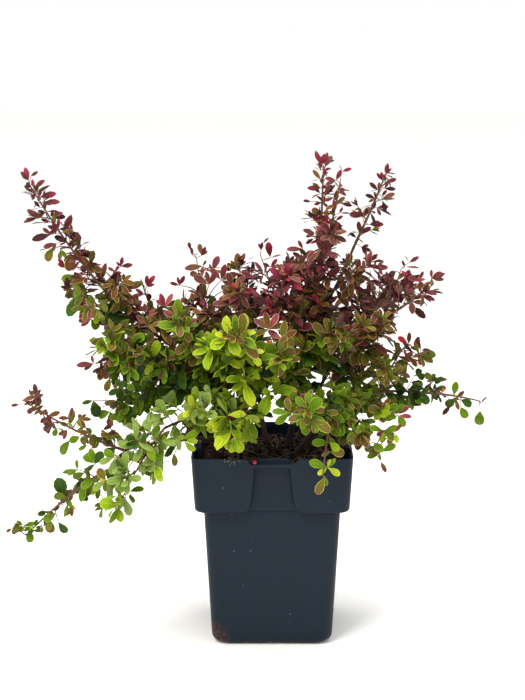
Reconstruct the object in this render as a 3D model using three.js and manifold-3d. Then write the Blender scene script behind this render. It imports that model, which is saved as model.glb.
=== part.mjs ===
// Japanese barberry, a many-stemmed thorny shrub, growing in a square nursery pot.
// Millimetres, +Z up. The origin is under the middle of the pot, on its flat underside; -Y is the front.
import * as THREE from "three";
import { mergeVertices } from "three/addons/utils/BufferGeometryUtils.js";
import Module from "manifold-3d";

const wasm = await Module();
wasm.setup();

// Driving dimensions of the pot
const POT_WIDTH = 160;
const POT_HEIGHT = 200;
const WALL = 1.6;
const FLOOR = 6;
const COLLAR_HEIGHT = 57;
const COLLAR_FOOT_WIDTH = 153.4;
const COLLAR_EDGE = 2;
const BODY_TOP_WIDTH = 136.2;
const BODY_FOOT_WIDTH = 121;
const FOOT_FILLET = 9;
const FILLET_ANGLES = [0, 45, 90];
const RIM_CORNER = 9;
const FOOT_CORNER = 15;
const CORNER_STEPS = 2;
const CORNERS = 4;

// The label pocket in the middle of each side of the collar
const POCKET_HALF_WIDTH = 18;
const POCKET_FLARE = 23;
const POCKET_FOOT = 29;
const POCKET_DEPTH = 6.5;
const POCKET_CURVE_STEPS = 2;
const BAR_FOOT_BELOW_RIM = 9.6;
const BAR_TOP_BELOW_RIM = 5.6;
const PANEL_BELOW_RIM = 1;
const KNEE_HEIGHT = 9;
const KNEE_EASE = 12;
const POCKET_LIP = 2;
const NOTCH_LIP = 0.2;
const CUT_PAST = 1;
const CUT_REACH = 3;

// Drainage: a channel from the middle of each side and a hole at its inner end
const CHANNEL_WIDTH = 20;
const CHANNEL_DEPTH = 3.2;
const CHANNEL_END = 27;
const DRAIN_RADIUS = 5;
const DRAIN_SIDES = 6;

// Soil
const SOIL_EDGE = 184;
const SOIL_TOP = 189;
const SOIL_PLATEAU = 96;
const GAP = 0.3;

// Wood. The flare is how much a stem thickens at its foot, and over what share of its length.
const LIMB_SIDES = 5;
const LIMB_STEPS = 4;
const STEM_FLARE = 1.3;
const FLARE_HEIGHT = 0.09;
const STEEP_SHARE = 0.8;
const CURVE_SAMPLES = 8;
const UP = new THREE.Vector3(0, 0, 1);
const BACK = new THREE.Vector3(0, 1, 0);

// Leaves, by their length. The ridge is where the upper side stands highest.
const LEAF_BELLY = 0.62;
const LEAF_WIDTH = 0.64;
const LEAF_RIDGE = 0.22;
const LEAF_THICKNESS = 0.022;
// Points round a leaf's edge by how far along and how wide, past the part next to its root, and the
// edges that join them
const OUTLINE = [
  [0.14, 0],
  [0.3, -0.48],
  [0.46, -0.74],
  [LEAF_BELLY, -1],
  [0.81, -0.5],
  [1, 0],
  [0.81, 0.5],
  [LEAF_BELLY, 1],
  [0.46, 0.74],
  [0.3, 0.48],
];
const EDGES = [
  [0, 5],
  [1, 3],
  [3, 5],
  [5, 7],
  [7, 9],
];

// Room that twigs and leaves leave, and how near two leaves' middles may be, by a leaf's length
const CROWDED = 0.54;
const CLEAR_OF_LIMB = 0.9;
const CLEAR_OF_NEIGHBOUR = 0.9;
const CLEAR_OF_POT = 4;

const POT_LOOK = { color: 0x27303a, roughness: 0.55, metalness: 0 };
const SOIL_LOOK = { color: 0x2b1d16, roughness: 1, metalness: 0 };
const STEM_LOOK = { color: 0x3b2721, roughness: 0.85, metalness: 0 };
const BOUGH_LOOK = { color: 0x4a2a22, roughness: 0.8, metalness: 0 };
const LEAF_COLOURS = {
  wine: 0x5f3036,
  bronze: 0x6b4a35,
  green: 0x4f7a1e,
  bright: 0x86a82a,
  pale: 0x93a860,
  dark: 0x3a5a22,
};

// Stems rise from flat cuts on the soil. foot: x, y. tip: x, y, z. lift: how far the curve's control
// point stands above the straight line. thick: radius at the foot and at the tip.
const STEMS = [
  { name: "stem_left", foot: [-14, -4], tip: [-62, -14, 272], lift: 12, thick: [2.3, 1.6] },
  { name: "stem_tall", foot: [16, 6], tip: [44, 6, 330], lift: -6, thick: [2.7, 1.8] },
  { name: "stem_right", foot: [34, -6], tip: [88, -4, 292], lift: 10, thick: [2.3, 1.6] },
  { name: "stem_front", foot: [0, -24], tip: [-22, -62, 262], lift: 8, thick: [2.1, 1.5] },
  { name: "stem_rear", foot: [-6, 22], tip: [-22, 64, 272], lift: 10, thick: [2.1, 1.5] },
  { name: "stem_rear_right", foot: [26, 26], tip: [66, 62, 268], lift: 10, thick: [2.1, 1.5] },
  { name: "stem_low_left", foot: [-30, -20], tip: [-92, -56, 212], lift: 16, thick: [2, 1.5] },
  { name: "stem_front_right", foot: [24, -24], tip: [60, -66, 248], lift: 8, thick: [2.1, 1.5] },
];

// Boughs leave a stem or another bough. on: the parent. at: how far along it, 1 being its tip.
const BOUGHS = [
  { name: "bough_left_arch", on: "stem_left", at: 1,
    tip: [-150, -16, 338], lift: -4, thick: [1.6, 1.4] },
  { name: "bough_left_rear", on: "stem_left", at: 0.66,
    tip: [-98, 24, 256], lift: 2, thick: [1.5, 1.3] },
  { name: "bough_left_low", on: "stem_low_left", at: 0.76,
    tip: [-148, -32, 196], lift: 4, thick: [1.5, 1.3] },
  { name: "bough_left_trail", on: "stem_low_left", at: 1,
    tip: [-168, -74, 184], lift: 4, thick: [1.5, 1.3] },
  { name: "bough_pale", on: "stem_front", at: 0.62,
    tip: [-104, -98, 236], lift: 16, thick: [1.5, 1.3] },
  { name: "bough_tall", on: "stem_tall", at: 1,
    tip: [48, 8, 385], lift: 0, thick: [1.8, 1.4] },
  { name: "bough_tall_right", on: "stem_tall", at: 0.9,
    tip: [84, 26, 396], lift: -10, thick: [1.6, 1.3] },
  { name: "bough_right", on: "stem_right", at: 1,
    tip: [122, 2, 330], lift: 0, thick: [1.6, 1.3] },
  { name: "bough_right_low", on: "stem_right", at: 0.42,
    tip: [150, 8, 246], lift: 12, thick: [1.5, 1.3] },
  { name: "bough_rear_right", on: "stem_rear_right", at: 1,
    tip: [94, 84, 296], lift: 2, thick: [1.5, 1.3] },
];

// Masses of foliage: a twigged stem from a limb to its own tip. spread: length of the side twigs.
// twigs: how many of them. leaf: length of the largest leaf. tint: the mass's main leaf colour.
const MASSES = [
  { name: "arch_tip", on: "bough_left_arch", at: 1, tip: [-238, -20, 462],
    lift: -16, spread: 24, twigs: 6, leaf: 28, tint: "wine", seed: 1 },
  { name: "arch_outer", on: "bough_left_arch", at: 0.86, tip: [-204, -36, 348],
    lift: 6, spread: 34, twigs: 3, leaf: 34, tint: "bronze", seed: 2 },
  { name: "arch_inner", on: "bough_left_arch", at: 0.5, tip: [-134, -2, 374],
    lift: -10, spread: 30, twigs: 2, leaf: 28, tint: "wine", seed: 3 },
  { name: "left_fore", on: "stem_left", at: 0.8, tip: [-168, -58, 308],
    lift: 4, spread: 36, twigs: 4, leaf: 38, tint: "green", seed: 4 },
  { name: "left_front", on: "stem_left", at: 0.62, tip: [-92, -66, 338],
    lift: -6, spread: 34, twigs: 3, leaf: 38, tint: "green", seed: 5 },
  { name: "left_rear", on: "bough_left_rear", at: 1, tip: [-182, 40, 270],
    lift: 6, spread: 34, twigs: 3, leaf: 36, tint: "dark", seed: 6 },
  { name: "left_under", on: "bough_left_rear", at: 0.55, tip: [-152, -6, 236],
    lift: 8, spread: 32, twigs: 3, leaf: 36, tint: "dark", seed: 7 },
  { name: "left_long_twig", on: "bough_left_low", at: 1, tip: [-244, -30, 244],
    lift: -8, spread: 20, twigs: 4, leaf: 27, tint: "green", seed: 8 },
  { name: "left_trail_tip", on: "bough_left_trail", at: 1, tip: [-246, -54, 114],
    lift: 8, spread: 18, twigs: 4, leaf: 28, tint: "green", seed: 41 },
  { name: "pale_spray", on: "bough_pale", at: 1, tip: [-150, -122, 160],
    lift: 12, spread: 34, twigs: 4, leaf: 34, tint: "pale", seed: 10 },
  { name: "pale_inner", on: "bough_pale", at: 0.55, tip: [-98, -96, 204],
    lift: 14, spread: 30, twigs: 3, leaf: 34, tint: "bright", seed: 11 },
  { name: "front_high", on: "stem_front", at: 1, tip: [-38, -88, 326],
    lift: -4, spread: 40, twigs: 3, leaf: 40, tint: "bright", seed: 12 },
  { name: "front_low", on: "stem_front", at: 0.84, tip: [-44, -112, 220],
    lift: 16, spread: 34, twigs: 3, leaf: 38, tint: "bright", seed: 13 },
  { name: "front_mid", on: "stem_tall", at: 0.36, tip: [4, -74, 306],
    lift: 2, spread: 36, twigs: 3, leaf: 38, tint: "green", seed: 14 },
  { name: "centre_right", on: "stem_tall", at: 0.5, tip: [58, -44, 322],
    lift: 0, spread: 38, twigs: 3, leaf: 40, tint: "green", seed: 15 },
  { name: "front_right", on: "stem_front_right", at: 0.8, tip: [34, -110, 256],
    lift: 6, spread: 32, twigs: 3, leaf: 36, tint: "green", seed: 16 },
  { name: "front_droop", on: "stem_front_right", at: 1, tip: [48, -112, 186],
    lift: 26, spread: 16, twigs: 2, leaf: 30, tint: "bright", seed: 17 },
  { name: "upper_front", on: "stem_tall", at: 0.66, tip: [10, -46, 372],
    lift: -4, spread: 36, twigs: 3, leaf: 38, tint: "bronze", seed: 18 },
  { name: "upper_left", on: "stem_left", at: 0.92, tip: [-76, 12, 384],
    lift: -6, spread: 34, twigs: 3, leaf: 34, tint: "wine", seed: 19 },
  { name: "upper_left_fore", on: "stem_left", at: 0.86, tip: [-38, -34, 356],
    lift: 0, spread: 40, twigs: 3, leaf: 38, tint: "bronze", seed: 20 },
  { name: "upper_mid", on: "stem_tall", at: 0.6, tip: [-12, 24, 386],
    lift: -6, spread: 36, twigs: 3, leaf: 34, tint: "wine", seed: 21 },
  { name: "upper_mid_rear", on: "stem_rear", at: 0.88, tip: [-38, 62, 362],
    lift: 0, spread: 38, twigs: 3, leaf: 38, tint: "wine", seed: 44 },
  { name: "tall_shoot", on: "bough_tall", at: 1, tip: [51, 10, 477],
    lift: 0, spread: 20, twigs: 4, leaf: 26, tint: "wine", seed: 23 },
  { name: "tall_twin", on: "bough_tall", at: 0.6, tip: [67, -4, 462],
    lift: -10, spread: 20, twigs: 3, leaf: 26, tint: "wine", seed: 42 },
  { name: "tall_right_tip", on: "bough_tall_right", at: 1, tip: [114, 30, 466],
    lift: -4, spread: 20, twigs: 4, leaf: 26, tint: "wine", seed: 25 },
  { name: "crown_left", on: "stem_tall", at: 0.86, tip: [26, 4, 412],
    lift: 0, spread: 34, twigs: 3, leaf: 36, tint: "wine", seed: 26 },
  { name: "crown_front", on: "stem_tall", at: 0.92, tip: [52, -34, 416],
    lift: -4, spread: 34, twigs: 3, leaf: 36, tint: "wine", seed: 27 },
  { name: "crown_right", on: "bough_tall_right", at: 0.5, tip: [92, -18, 380],
    lift: -2, spread: 32, twigs: 3, leaf: 34, tint: "wine", seed: 28 },
  { name: "right_tip", on: "bough_right", at: 1, tip: [162, 0, 360],
    lift: -2, spread: 30, twigs: 3, leaf: 30, tint: "wine", seed: 29 },
  { name: "right_tip_rear", on: "bough_right", at: 0.55, tip: [132, 40, 368],
    lift: -4, spread: 34, twigs: 3, leaf: 34, tint: "wine", seed: 30 },
  { name: "right_fore", on: "stem_right", at: 0.92, tip: [114, -52, 332],
    lift: 0, spread: 38, twigs: 3, leaf: 38, tint: "bronze", seed: 31 },
  { name: "right_mid", on: "stem_right", at: 0.74, tip: [142, -46, 276],
    lift: 4, spread: 34, twigs: 3, leaf: 34, tint: "bronze", seed: 32 },
  { name: "right_inner", on: "stem_right", at: 0.56, tip: [104, -30, 244],
    lift: 4, spread: 34, twigs: 3, leaf: 36, tint: "green", seed: 33 },
  { name: "right_low", on: "stem_front_right", at: 0.7, tip: [106, -78, 198],
    lift: 26, spread: 32, twigs: 3, leaf: 36, tint: "green", seed: 34 },
  { name: "right_long_twig", on: "bough_right_low", at: 1, tip: [214, 10, 236],
    lift: 4, spread: 20, twigs: 3, leaf: 28, tint: "dark", seed: 35 },
  { name: "right_rear", on: "bough_right_low", at: 0.55, tip: [140, 58, 286],
    lift: 6, spread: 38, twigs: 3, leaf: 38, tint: "green", seed: 36 },
  { name: "rear_mid", on: "stem_rear", at: 1, tip: [-26, 134, 336],
    lift: 2, spread: 42, twigs: 4, leaf: 40, tint: "wine", seed: 37 },
  { name: "rear_left", on: "stem_rear", at: 0.7, tip: [-108, 104, 302],
    lift: 6, spread: 42, twigs: 3, leaf: 40, tint: "bronze", seed: 38 },
  { name: "rear_right", on: "bough_rear_right", at: 1, tip: [122, 112, 338],
    lift: 2, spread: 42, twigs: 3, leaf: 40, tint: "wine", seed: 39 },
  { name: "rear_inner", on: "stem_rear_right", at: 0.9, tip: [44, 112, 326],
    lift: 4, spread: 42, twigs: 3, leaf: 40, tint: "bronze", seed: 40 },
];

// The side twigs of a mass, and the rosettes of leaves on its twigs
const STEM_RADIUS = 1.4;
const STEM_TIP_RADIUS = 0.7;
const STEM_STEPS = 4;
const TWIG_SIDES = 3;
const FACE_TURN = (2 * Math.PI) / TWIG_SIDES;
const TURN_JITTER = 0.3;
const FIRST_TWIG_AT = 0.1;
const LAST_TWIG_AT = 0.92;
const TWIG_STRAYS = 0.03;
const TWIG_ANGLE = THREE.MathUtils.degToRad(58);
const TWIG_VARIES = [0.8, 1.15];
const TWIG_SHORTENS = 0.5;
const TWIG_TURNS_UP = 0.2;
const TWIG_RADIUS = 0.62;
const TWIG_TIP_RADIUS = 0.55;
const SHORTEST_TWIG = 9;
const REACH_TESTS = 8;
const TWIG_ROSETTES = [0.5, 0.92];
const STEM_ROSETTES = 8;
const ROSETTE_LEAVES = 3;
const LEAF_ANGLE = THREE.MathUtils.degToRad(62);
const LEAF_TURNS = [0.75, 1.2];
const LEAF_SIZES = [0.85, 1.1];
const LEAVES_SHRINK = 0.35;
const LEAF_TRIES = [1, 0.78];
const HEART = new THREE.Vector3(0, 0, 250);
const FACES_UP = 0.35;
const FACES_ASTRAY = 1;

// Constants of the seeded numbers
const DICE_RANGE = 4294967296;
const DICE_FACTOR = 1664525;
const DICE_STEP = 1013904223;
const SEED_SPREAD = 2654435761;

// Seeded numbers from 0 to 1, the same on every run
class Dice {
  constructor(seed) {
    this.state = (seed * SEED_SPREAD) % DICE_RANGE;
  }

  roll() {
    this.state = (this.state * DICE_FACTOR + DICE_STEP) % DICE_RANGE;
    return this.state / DICE_RANGE;
  }

  between(low, high) {
    return low + (high - low) * this.roll();
  }
}

// A closed solid from a closed geometry whose faces share their corners
function solidOf(geometry) {
  const bare = geometry.clone();
  bare.deleteAttribute("normal");
  bare.deleteAttribute("uv");
  const merged = mergeVertices(bare, 1e-4);
  const mesh = new wasm.Mesh({
    numProp: 3,
    vertProperties: merged.attributes.position.array,
    triVerts: new Uint32Array(merged.index.array),
  });
  return new wasm.Manifold(mesh);
}

// The largest outer shell of a solid, so that loose scraps and sealed hollows are left out
function largestBody(solid) {
  const bodies = solid.decompose();
  return bodies.reduce((best, body) => (body.volume() > best.volume() ? body : best));
}

function meshOf(name, solid, look) {
  const { vertProperties, triVerts } = solid.getMesh();
  const geometry = new THREE.BufferGeometry();
  geometry.setAttribute("position", new THREE.BufferAttribute(vertProperties, 3));
  geometry.setIndex(new THREE.BufferAttribute(triVerts, 1));
  const mesh = new THREE.Mesh(geometry.toNonIndexed(), new THREE.MeshStandardMaterial(look));
  mesh.geometry.computeVertexNormals();
  mesh.name = name;
  return mesh;
}

// Skin over a stack of rings with the same number of points, closed by a fan on each end
function loft(rings) {
  const sides = rings[0].length;
  const points = rings.flat();
  const faces = [];
  for (let ring = 0; ring + 1 < rings.length; ring += 1) {
    for (let side = 0; side < sides; side += 1) {
      const a = ring * sides + side;
      const b = ring * sides + ((side + 1) % sides);
      faces.push(a, b, b + sides, a, b + sides, a + sides);
    }
  }
  const last = (rings.length - 1) * sides;
  for (let side = 1; side + 1 < sides; side += 1) {
    faces.push(0, side + 1, side, last, last + side, last + side + 1);
  }
  const geometry = new THREE.BufferGeometry().setFromPoints(points);
  geometry.setIndex(faces);
  return geometry;
}

// A level square ring with round corners
function squareRing(width, corner, z) {
  const ring = [];
  const middle = width / 2 - corner;
  for (let quarter = 0; quarter < CORNERS; quarter += 1) {
    for (let step = 0; step <= CORNER_STEPS; step += 1) {
      const angle = (quarter + step / CORNER_STEPS) * (Math.PI / 2);
      const sideX = quarter === 0 || quarter === 3 ? 1 : -1;
      const sideY = quarter < 2 ? 1 : -1;
      const x = sideX * middle + corner * Math.cos(angle);
      const y = sideY * middle + corner * Math.sin(angle);
      ring.push(new THREE.Vector3(x, y, z));
    }
  }
  return ring;
}

// Widths of the pot's outside at a height, on the body and on the collar
const COLLAR_FOOT = POT_HEIGHT - COLLAR_HEIGHT;

function bodyWidth(z) {
  return THREE.MathUtils.mapLinear(z, 0, COLLAR_FOOT, BODY_FOOT_WIDTH, BODY_TOP_WIDTH);
}

function collarWidth(z) {
  return THREE.MathUtils.mapLinear(z, COLLAR_FOOT, POT_HEIGHT, COLLAR_FOOT_WIDTH, POT_WIDTH);
}

function cornerAt(z) {
  return THREE.MathUtils.mapLinear(z, 0, POT_HEIGHT, FOOT_CORNER, RIM_CORNER);
}

// The pot's body and collar drawn in by inset, from floor to top
function bodyShape(inset, floor, top) {
  const rings = [];
  const fillet = FOOT_FILLET - inset;
  for (const angle of FILLET_ANGLES) {
    const turn = THREE.MathUtils.degToRad(angle);
    const z = floor + fillet * (1 - Math.cos(turn));
    const width = bodyWidth(z) - 2 * inset - 2 * fillet * (1 - Math.sin(turn));
    rings.push(squareRing(width, cornerAt(z) - inset / 2, z));
  }
  rings.push(squareRing(bodyWidth(top) - 2 * inset, cornerAt(top) - inset / 2, top));
  return solidOf(loft(rings));
}

function collarShape(inset, foot, top) {
  const rings = [
    squareRing(collarWidth(foot) - 2 * inset - 2 * COLLAR_EDGE, cornerAt(foot), foot),
    squareRing(collarWidth(foot) - 2 * inset, cornerAt(foot), foot + COLLAR_EDGE),
    squareRing(collarWidth(top) - 2 * inset, cornerAt(top), top),
  ];
  return solidOf(loft(rings));
}

// The outline of the label pocket, grown by a margin: straight at the top, flared towards its foot
function pocketOutline(grown) {
  const foot = COLLAR_FOOT - CUT_PAST - grown;
  const top = POT_HEIGHT + CUT_PAST;
  const waist = POT_HEIGHT - BAR_FOOT_BELOW_RIM;
  const knee = COLLAR_FOOT + KNEE_HEIGHT;
  const half = POCKET_HALF_WIDTH + grown;
  const flare = POCKET_FLARE + grown;
  const wide = POCKET_FOOT + grown;
  const outline = new THREE.Shape();
  outline.moveTo(-half, top);
  outline.lineTo(-half, waist);
  outline.quadraticCurveTo(-half - CUT_PAST, knee + KNEE_EASE, -flare, knee);
  outline.quadraticCurveTo(-flare - CUT_PAST, foot + POCKET_LIP, -wide, foot);
  outline.lineTo(wide, foot);
  outline.quadraticCurveTo(flare + CUT_PAST, foot + POCKET_LIP, flare, knee);
  outline.quadraticCurveTo(half + CUT_PAST, knee + KNEE_EASE, half, waist);
  outline.lineTo(half, top);
  return outline;
}

// A flat outline in X and Z as a slab whose back lies at depth under the collar's sloping face,
// copied to the four sides
function onFourSides(outline, depth, reach) {
  const lean = Math.atan2((POT_WIDTH - COLLAR_FOOT_WIDTH) / 2, COLLAR_HEIGHT);
  const slab = new THREE.ExtrudeGeometry(outline, {
    depth: depth + reach,
    bevelEnabled: false,
    curveSegments: POCKET_CURVE_STEPS,
  });
  slab.rotateX(Math.PI / 2);
  slab.translate(0, depth, -POT_HEIGHT);
  slab.rotateX(lean);
  slab.translate(0, -POT_WIDTH / 2, POT_HEIGHT);
  const sides = [];
  for (let side = 0; side < CORNERS; side += 1) {
    sides.push(solidOf(slab.clone().rotateZ((side * Math.PI) / 2)));
  }
  return sides.reduce((whole, piece) => whole.add(piece));
}

// The dip in the rim over each pocket
function notchOutline() {
  const half = POCKET_HALF_WIDTH + CUT_PAST;
  const top = POT_HEIGHT + 2 * CUT_PAST;
  const outline = new THREE.Shape();
  outline.moveTo(-POCKET_FOOT - CUT_PAST, top);
  outline.lineTo(-POCKET_FOOT + CUT_PAST, POT_HEIGHT - NOTCH_LIP);
  outline.lineTo(-half, POT_HEIGHT - BAR_TOP_BELOW_RIM);
  outline.lineTo(half, POT_HEIGHT - BAR_TOP_BELOW_RIM);
  outline.lineTo(POCKET_FOOT - CUT_PAST, POT_HEIGHT - NOTCH_LIP);
  outline.lineTo(POCKET_FOOT + CUT_PAST, top);
  return outline;
}

// The bar that closes the top of each pocket's face
function barOutline() {
  const half = POCKET_HALF_WIDTH + CUT_PAST;
  const outline = new THREE.Shape();
  outline.moveTo(-half, POT_HEIGHT - BAR_FOOT_BELOW_RIM);
  outline.lineTo(half, POT_HEIGHT - BAR_FOOT_BELOW_RIM);
  outline.lineTo(half, POT_HEIGHT - BAR_TOP_BELOW_RIM);
  outline.lineTo(-half, POT_HEIGHT - BAR_TOP_BELOW_RIM);
  return outline;
}

// Arched channels under the floor and the drain holes at their inner ends
function drainage() {
  const arch = new THREE.Shape();
  arch.moveTo(-CHANNEL_WIDTH / 2, -CUT_PAST);
  arch.lineTo(CHANNEL_WIDTH / 2, -CUT_PAST);
  arch.lineTo(CHANNEL_WIDTH / 2, 0);
  arch.quadraticCurveTo(CHANNEL_WIDTH / 4, CHANNEL_DEPTH, 0, CHANNEL_DEPTH);
  arch.quadraticCurveTo(-CHANNEL_WIDTH / 4, CHANNEL_DEPTH, -CHANNEL_WIDTH / 2, 0);
  const length = BODY_FOOT_WIDTH / 2 - CHANNEL_END;
  const channel = new THREE.ExtrudeGeometry(arch, {
    depth: length,
    bevelEnabled: false,
    curveSegments: POCKET_CURVE_STEPS,
  });
  channel.rotateX(Math.PI / 2);
  channel.translate(0, -CHANNEL_END, 0);
  const hole = new THREE.CylinderGeometry(DRAIN_RADIUS, DRAIN_RADIUS, FLOOR * 3, DRAIN_SIDES);
  hole.rotateX(Math.PI / 2);
  hole.translate(0, -CHANNEL_END - 2 * DRAIN_RADIUS, 0);
  const cuts = [];
  for (let side = 0; side < CORNERS; side += 1) {
    const turn = (side * Math.PI) / 2;
    cuts.push(solidOf(channel.clone().rotateZ(turn)), solidOf(hole.clone().rotateZ(turn)));
  }
  return cuts.reduce((whole, piece) => whole.add(piece));
}

// Thin-walled tapered pot with a stepped collar, label pockets, notched rim and drained floor
function potSolid() {
  const over = POT_HEIGHT + 2 * CUT_PAST;
  const around = POT_WIDTH + 2 * CUT_PAST;
  const behind = POCKET_DEPTH + WALL;
  const outside = bodyShape(0, 0, COLLAR_FOOT + CUT_PAST)
    .add(collarShape(0, COLLAR_FOOT, POT_HEIGHT))
    .subtract(onFourSides(pocketOutline(0), POCKET_DEPTH, CUT_REACH));
  const hollow = bodyShape(WALL, FLOOR, COLLAR_FOOT + WALL + CUT_PAST)
    .add(collarShape(WALL, COLLAR_FOOT + WALL, over))
    .subtract(onFourSides(pocketOutline(WALL), behind, CUT_REACH));
  const panelTrim = squareRing(around, RIM_CORNER, POT_HEIGHT - PANEL_BELOW_RIM);
  const panelTop = solidOf(loft([panelTrim, squareRing(around, RIM_CORNER, over)]));
  const pocketTops = onFourSides(pocketOutline(WALL), behind + CUT_PAST, 0).intersect(panelTop);
  return outside
    .subtract(hollow)
    .subtract(onFourSides(notchOutline(), POCKET_DEPTH - WALL, CUT_REACH))
    .subtract(pocketTops)
    .add(onFourSides(barOutline(), WALL, 0))
    .subtract(drainage());
}

// The root ball and potting bark that fill the pot, with a level patch in the middle for the stems
function soilSolid() {
  const inset = WALL + GAP;
  const ball = bodyShape(inset, FLOOR + GAP, COLLAR_FOOT + inset + CUT_PAST);
  const foot = COLLAR_FOOT + inset;
  const corner = cornerAt(foot);
  const rings = [
    squareRing(collarWidth(foot) - 2 * inset - 2 * COLLAR_EDGE, corner, foot),
    squareRing(collarWidth(foot) - 2 * inset, corner, foot + COLLAR_EDGE),
    squareRing(collarWidth(SOIL_EDGE) - 2 * inset, corner, SOIL_EDGE),
    squareRing(SOIL_PLATEAU, corner, SOIL_TOP),
  ];
  const pockets = onFourSides(pocketOutline(inset), POCKET_DEPTH + inset, CUT_REACH);
  return ball.add(solidOf(loft(rings)).subtract(pockets));
}

// A limb's centre line: from start to tip, bowed by lifting the control point over the middle
function limbCurve(start, tip, lift) {
  const control = start.clone().lerp(tip, 0.5);
  control.z += lift;
  return new THREE.QuadraticBezierCurve3(start, control, tip);
}

// Two directions square to a line. The reference is chosen by the whole limb, so a tube doesn't twist.
function squareTo(direction, chord) {
  const steep = Math.abs(chord.z) > STEEP_SHARE * chord.length();
  const side = (steep ? BACK : UP).clone().cross(direction).normalize();
  const top = direction.clone().cross(side).normalize();
  return { side, top };
}

function chordOf(curve) {
  return curve.getPoint(1).sub(curve.getPoint(0));
}

// A tapering tube of a few sides along a curve. radius: thickness by how far along.
// startFacing: the way the first end faces, if not along the curve.
function tube(curve, radius, sides, steps, startFacing) {
  const rings = [];
  for (let step = 0; step <= steps; step += 1) {
    const along = step / steps;
    const centre = curve.getPoint(along);
    const facing = step === 0 && startFacing ? startFacing : curve.getTangent(along);
    const { side, top } = squareTo(facing, chordOf(curve));
    const ring = [];
    for (let corner = 0; corner < sides; corner += 1) {
      const angle = (corner / sides) * 2 * Math.PI;
      const out = side.clone().multiplyScalar(Math.cos(angle));
      out.addScaledVector(top, Math.sin(angle));
      ring.push(centre.clone().addScaledVector(out, radius(along)));
    }
    rings.push(ring);
  }
  return loft(rings);
}

function taper(start, end) {
  return (along) => THREE.MathUtils.lerp(start, end, along);
}

// A stem's thickness: a straight taper with the root flare added near its foot
function flaredTaper(start, end) {
  return (along) => taper(start, end)(along) + STEM_FLARE * Math.exp(-along / FLARE_HEIGHT);
}

// Builds every stem and bough. Each knows its curve, its radius rule and its solid.
function growLimbs() {
  const limbs = new Map();
  for (const spec of STEMS) {
    const foot = new THREE.Vector3(spec.foot[0], spec.foot[1], SOIL_TOP + GAP);
    const curve = limbCurve(foot, new THREE.Vector3(...spec.tip), spec.lift);
    const radius = flaredTaper(...spec.thick);
    const solid = solidOf(tube(curve, radius, LIMB_SIDES, LIMB_STEPS, UP));
    limbs.set(spec.name, { name: spec.name, curve, startFacing: UP, radius, solid, look: STEM_LOOK });
  }
  for (const spec of BOUGHS) {
    const parent = limbs.get(spec.on);
    const { curve, startFacing } = curveFrom(parent, spec);
    const radius = taper(...spec.thick);
    const whole = solidOf(tube(curve, radius, LIMB_SIDES, LIMB_STEPS, startFacing));
    const solid = clearOfParent(whole, parent);
    limbs.set(spec.name, { name: spec.name, curve, startFacing, radius, solid, look: BOUGH_LOOK });
  }
  return limbs;
}

// A child's curve: it starts a gap past its parent's tip, or on its parent's centre line
function curveFrom(parent, spec) {
  const tip = new THREE.Vector3(...spec.tip);
  const start = parent.curve.getPoint(spec.at);
  const facing = parent.curve.getTangent(spec.at);
  if (spec.at < 1) {
    return { curve: limbCurve(start, tip, spec.lift) };
  }
  start.addScaledVector(facing, GAP);
  return { curve: limbCurve(start, tip, spec.lift), startFacing: facing };
}

// Cuts what would lie inside a child's parent back to a gap from it
function clearOfParent(solid, parent) {
  const grown = (along) => parent.radius(along) + GAP;
  const around = solidOf(tube(parent.curve, grown, LIMB_SIDES, LIMB_STEPS, parent.startFacing));
  return largestBody(solid.subtract(around));
}

// The distance from a point to a run of short straight pieces, and how far along the run it lies
function distanceTo(point, samples) {
  let best = { distance: Infinity, along: 0 };
  const nearest = new THREE.Vector3();
  for (let i = 0; i + 1 < samples.length; i += 1) {
    const piece = new THREE.Line3(samples[i], samples[i + 1]);
    const share = piece.closestPointToPointParameter(point, true);
    const distance = piece.at(share, nearest).distanceTo(point);
    if (distance < best.distance) {
      best = { distance, along: (i + share) / (samples.length - 1) };
    }
  }
  return best;
}

// The space that each mass keeps to: points that are nearer to its stem than to any other, for its spread
class Spaces {
  constructor(limbs, stems) {
    this.limbs = limbs.map((limb) => ({ ...limb, samples: limb.curve.getPoints(CURVE_SAMPLES) }));
    this.limbPieces = limbs.flatMap((limb) => new StraightPieces(limb.curve, LIMB_STEPS).pieces());
    this.stems = stems.map((stem) => ({ ...stem, samples: stem.curve.getPoints(CURVE_SAMPLES) }));
  }

  clearOfPot(point) {
    const reach = POT_WIDTH / 2 + CLEAR_OF_POT;
    const over = Math.abs(point.x) < reach && Math.abs(point.y) < reach;
    return over ? point.z > POT_HEIGHT + CLEAR_OF_POT : point.z > CLEAR_OF_POT;
  }

  clearOfLimbs(point, margin) {
    return this.limbs.every((limb) => {
      const { distance, along } = distanceTo(point, limb.samples);
      return distance > limb.radius(along) + margin;
    });
  }

  holds(name, point, margin) {
    const own = this.stems.find((stem) => stem.name === name);
    const mine = distanceTo(point, own.samples).distance / own.spread;
    return this.stems.every((stem) => {
      if (stem === own) {
        return true;
      }
      const theirs = distanceTo(point, stem.samples).distance / stem.spread;
      return (theirs - mine) * Math.min(stem.spread, own.spread) > margin;
    });
  }

  free(name, points, radius) {
    return points.every(
      (point) =>
        this.clearOfPot(point) &&
        this.clearOfLimbs(point, CLEAR_OF_LIMB + radius) &&
        this.holds(name, point, CLEAR_OF_NEIGHBOUR + radius),
    );
  }
}

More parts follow.
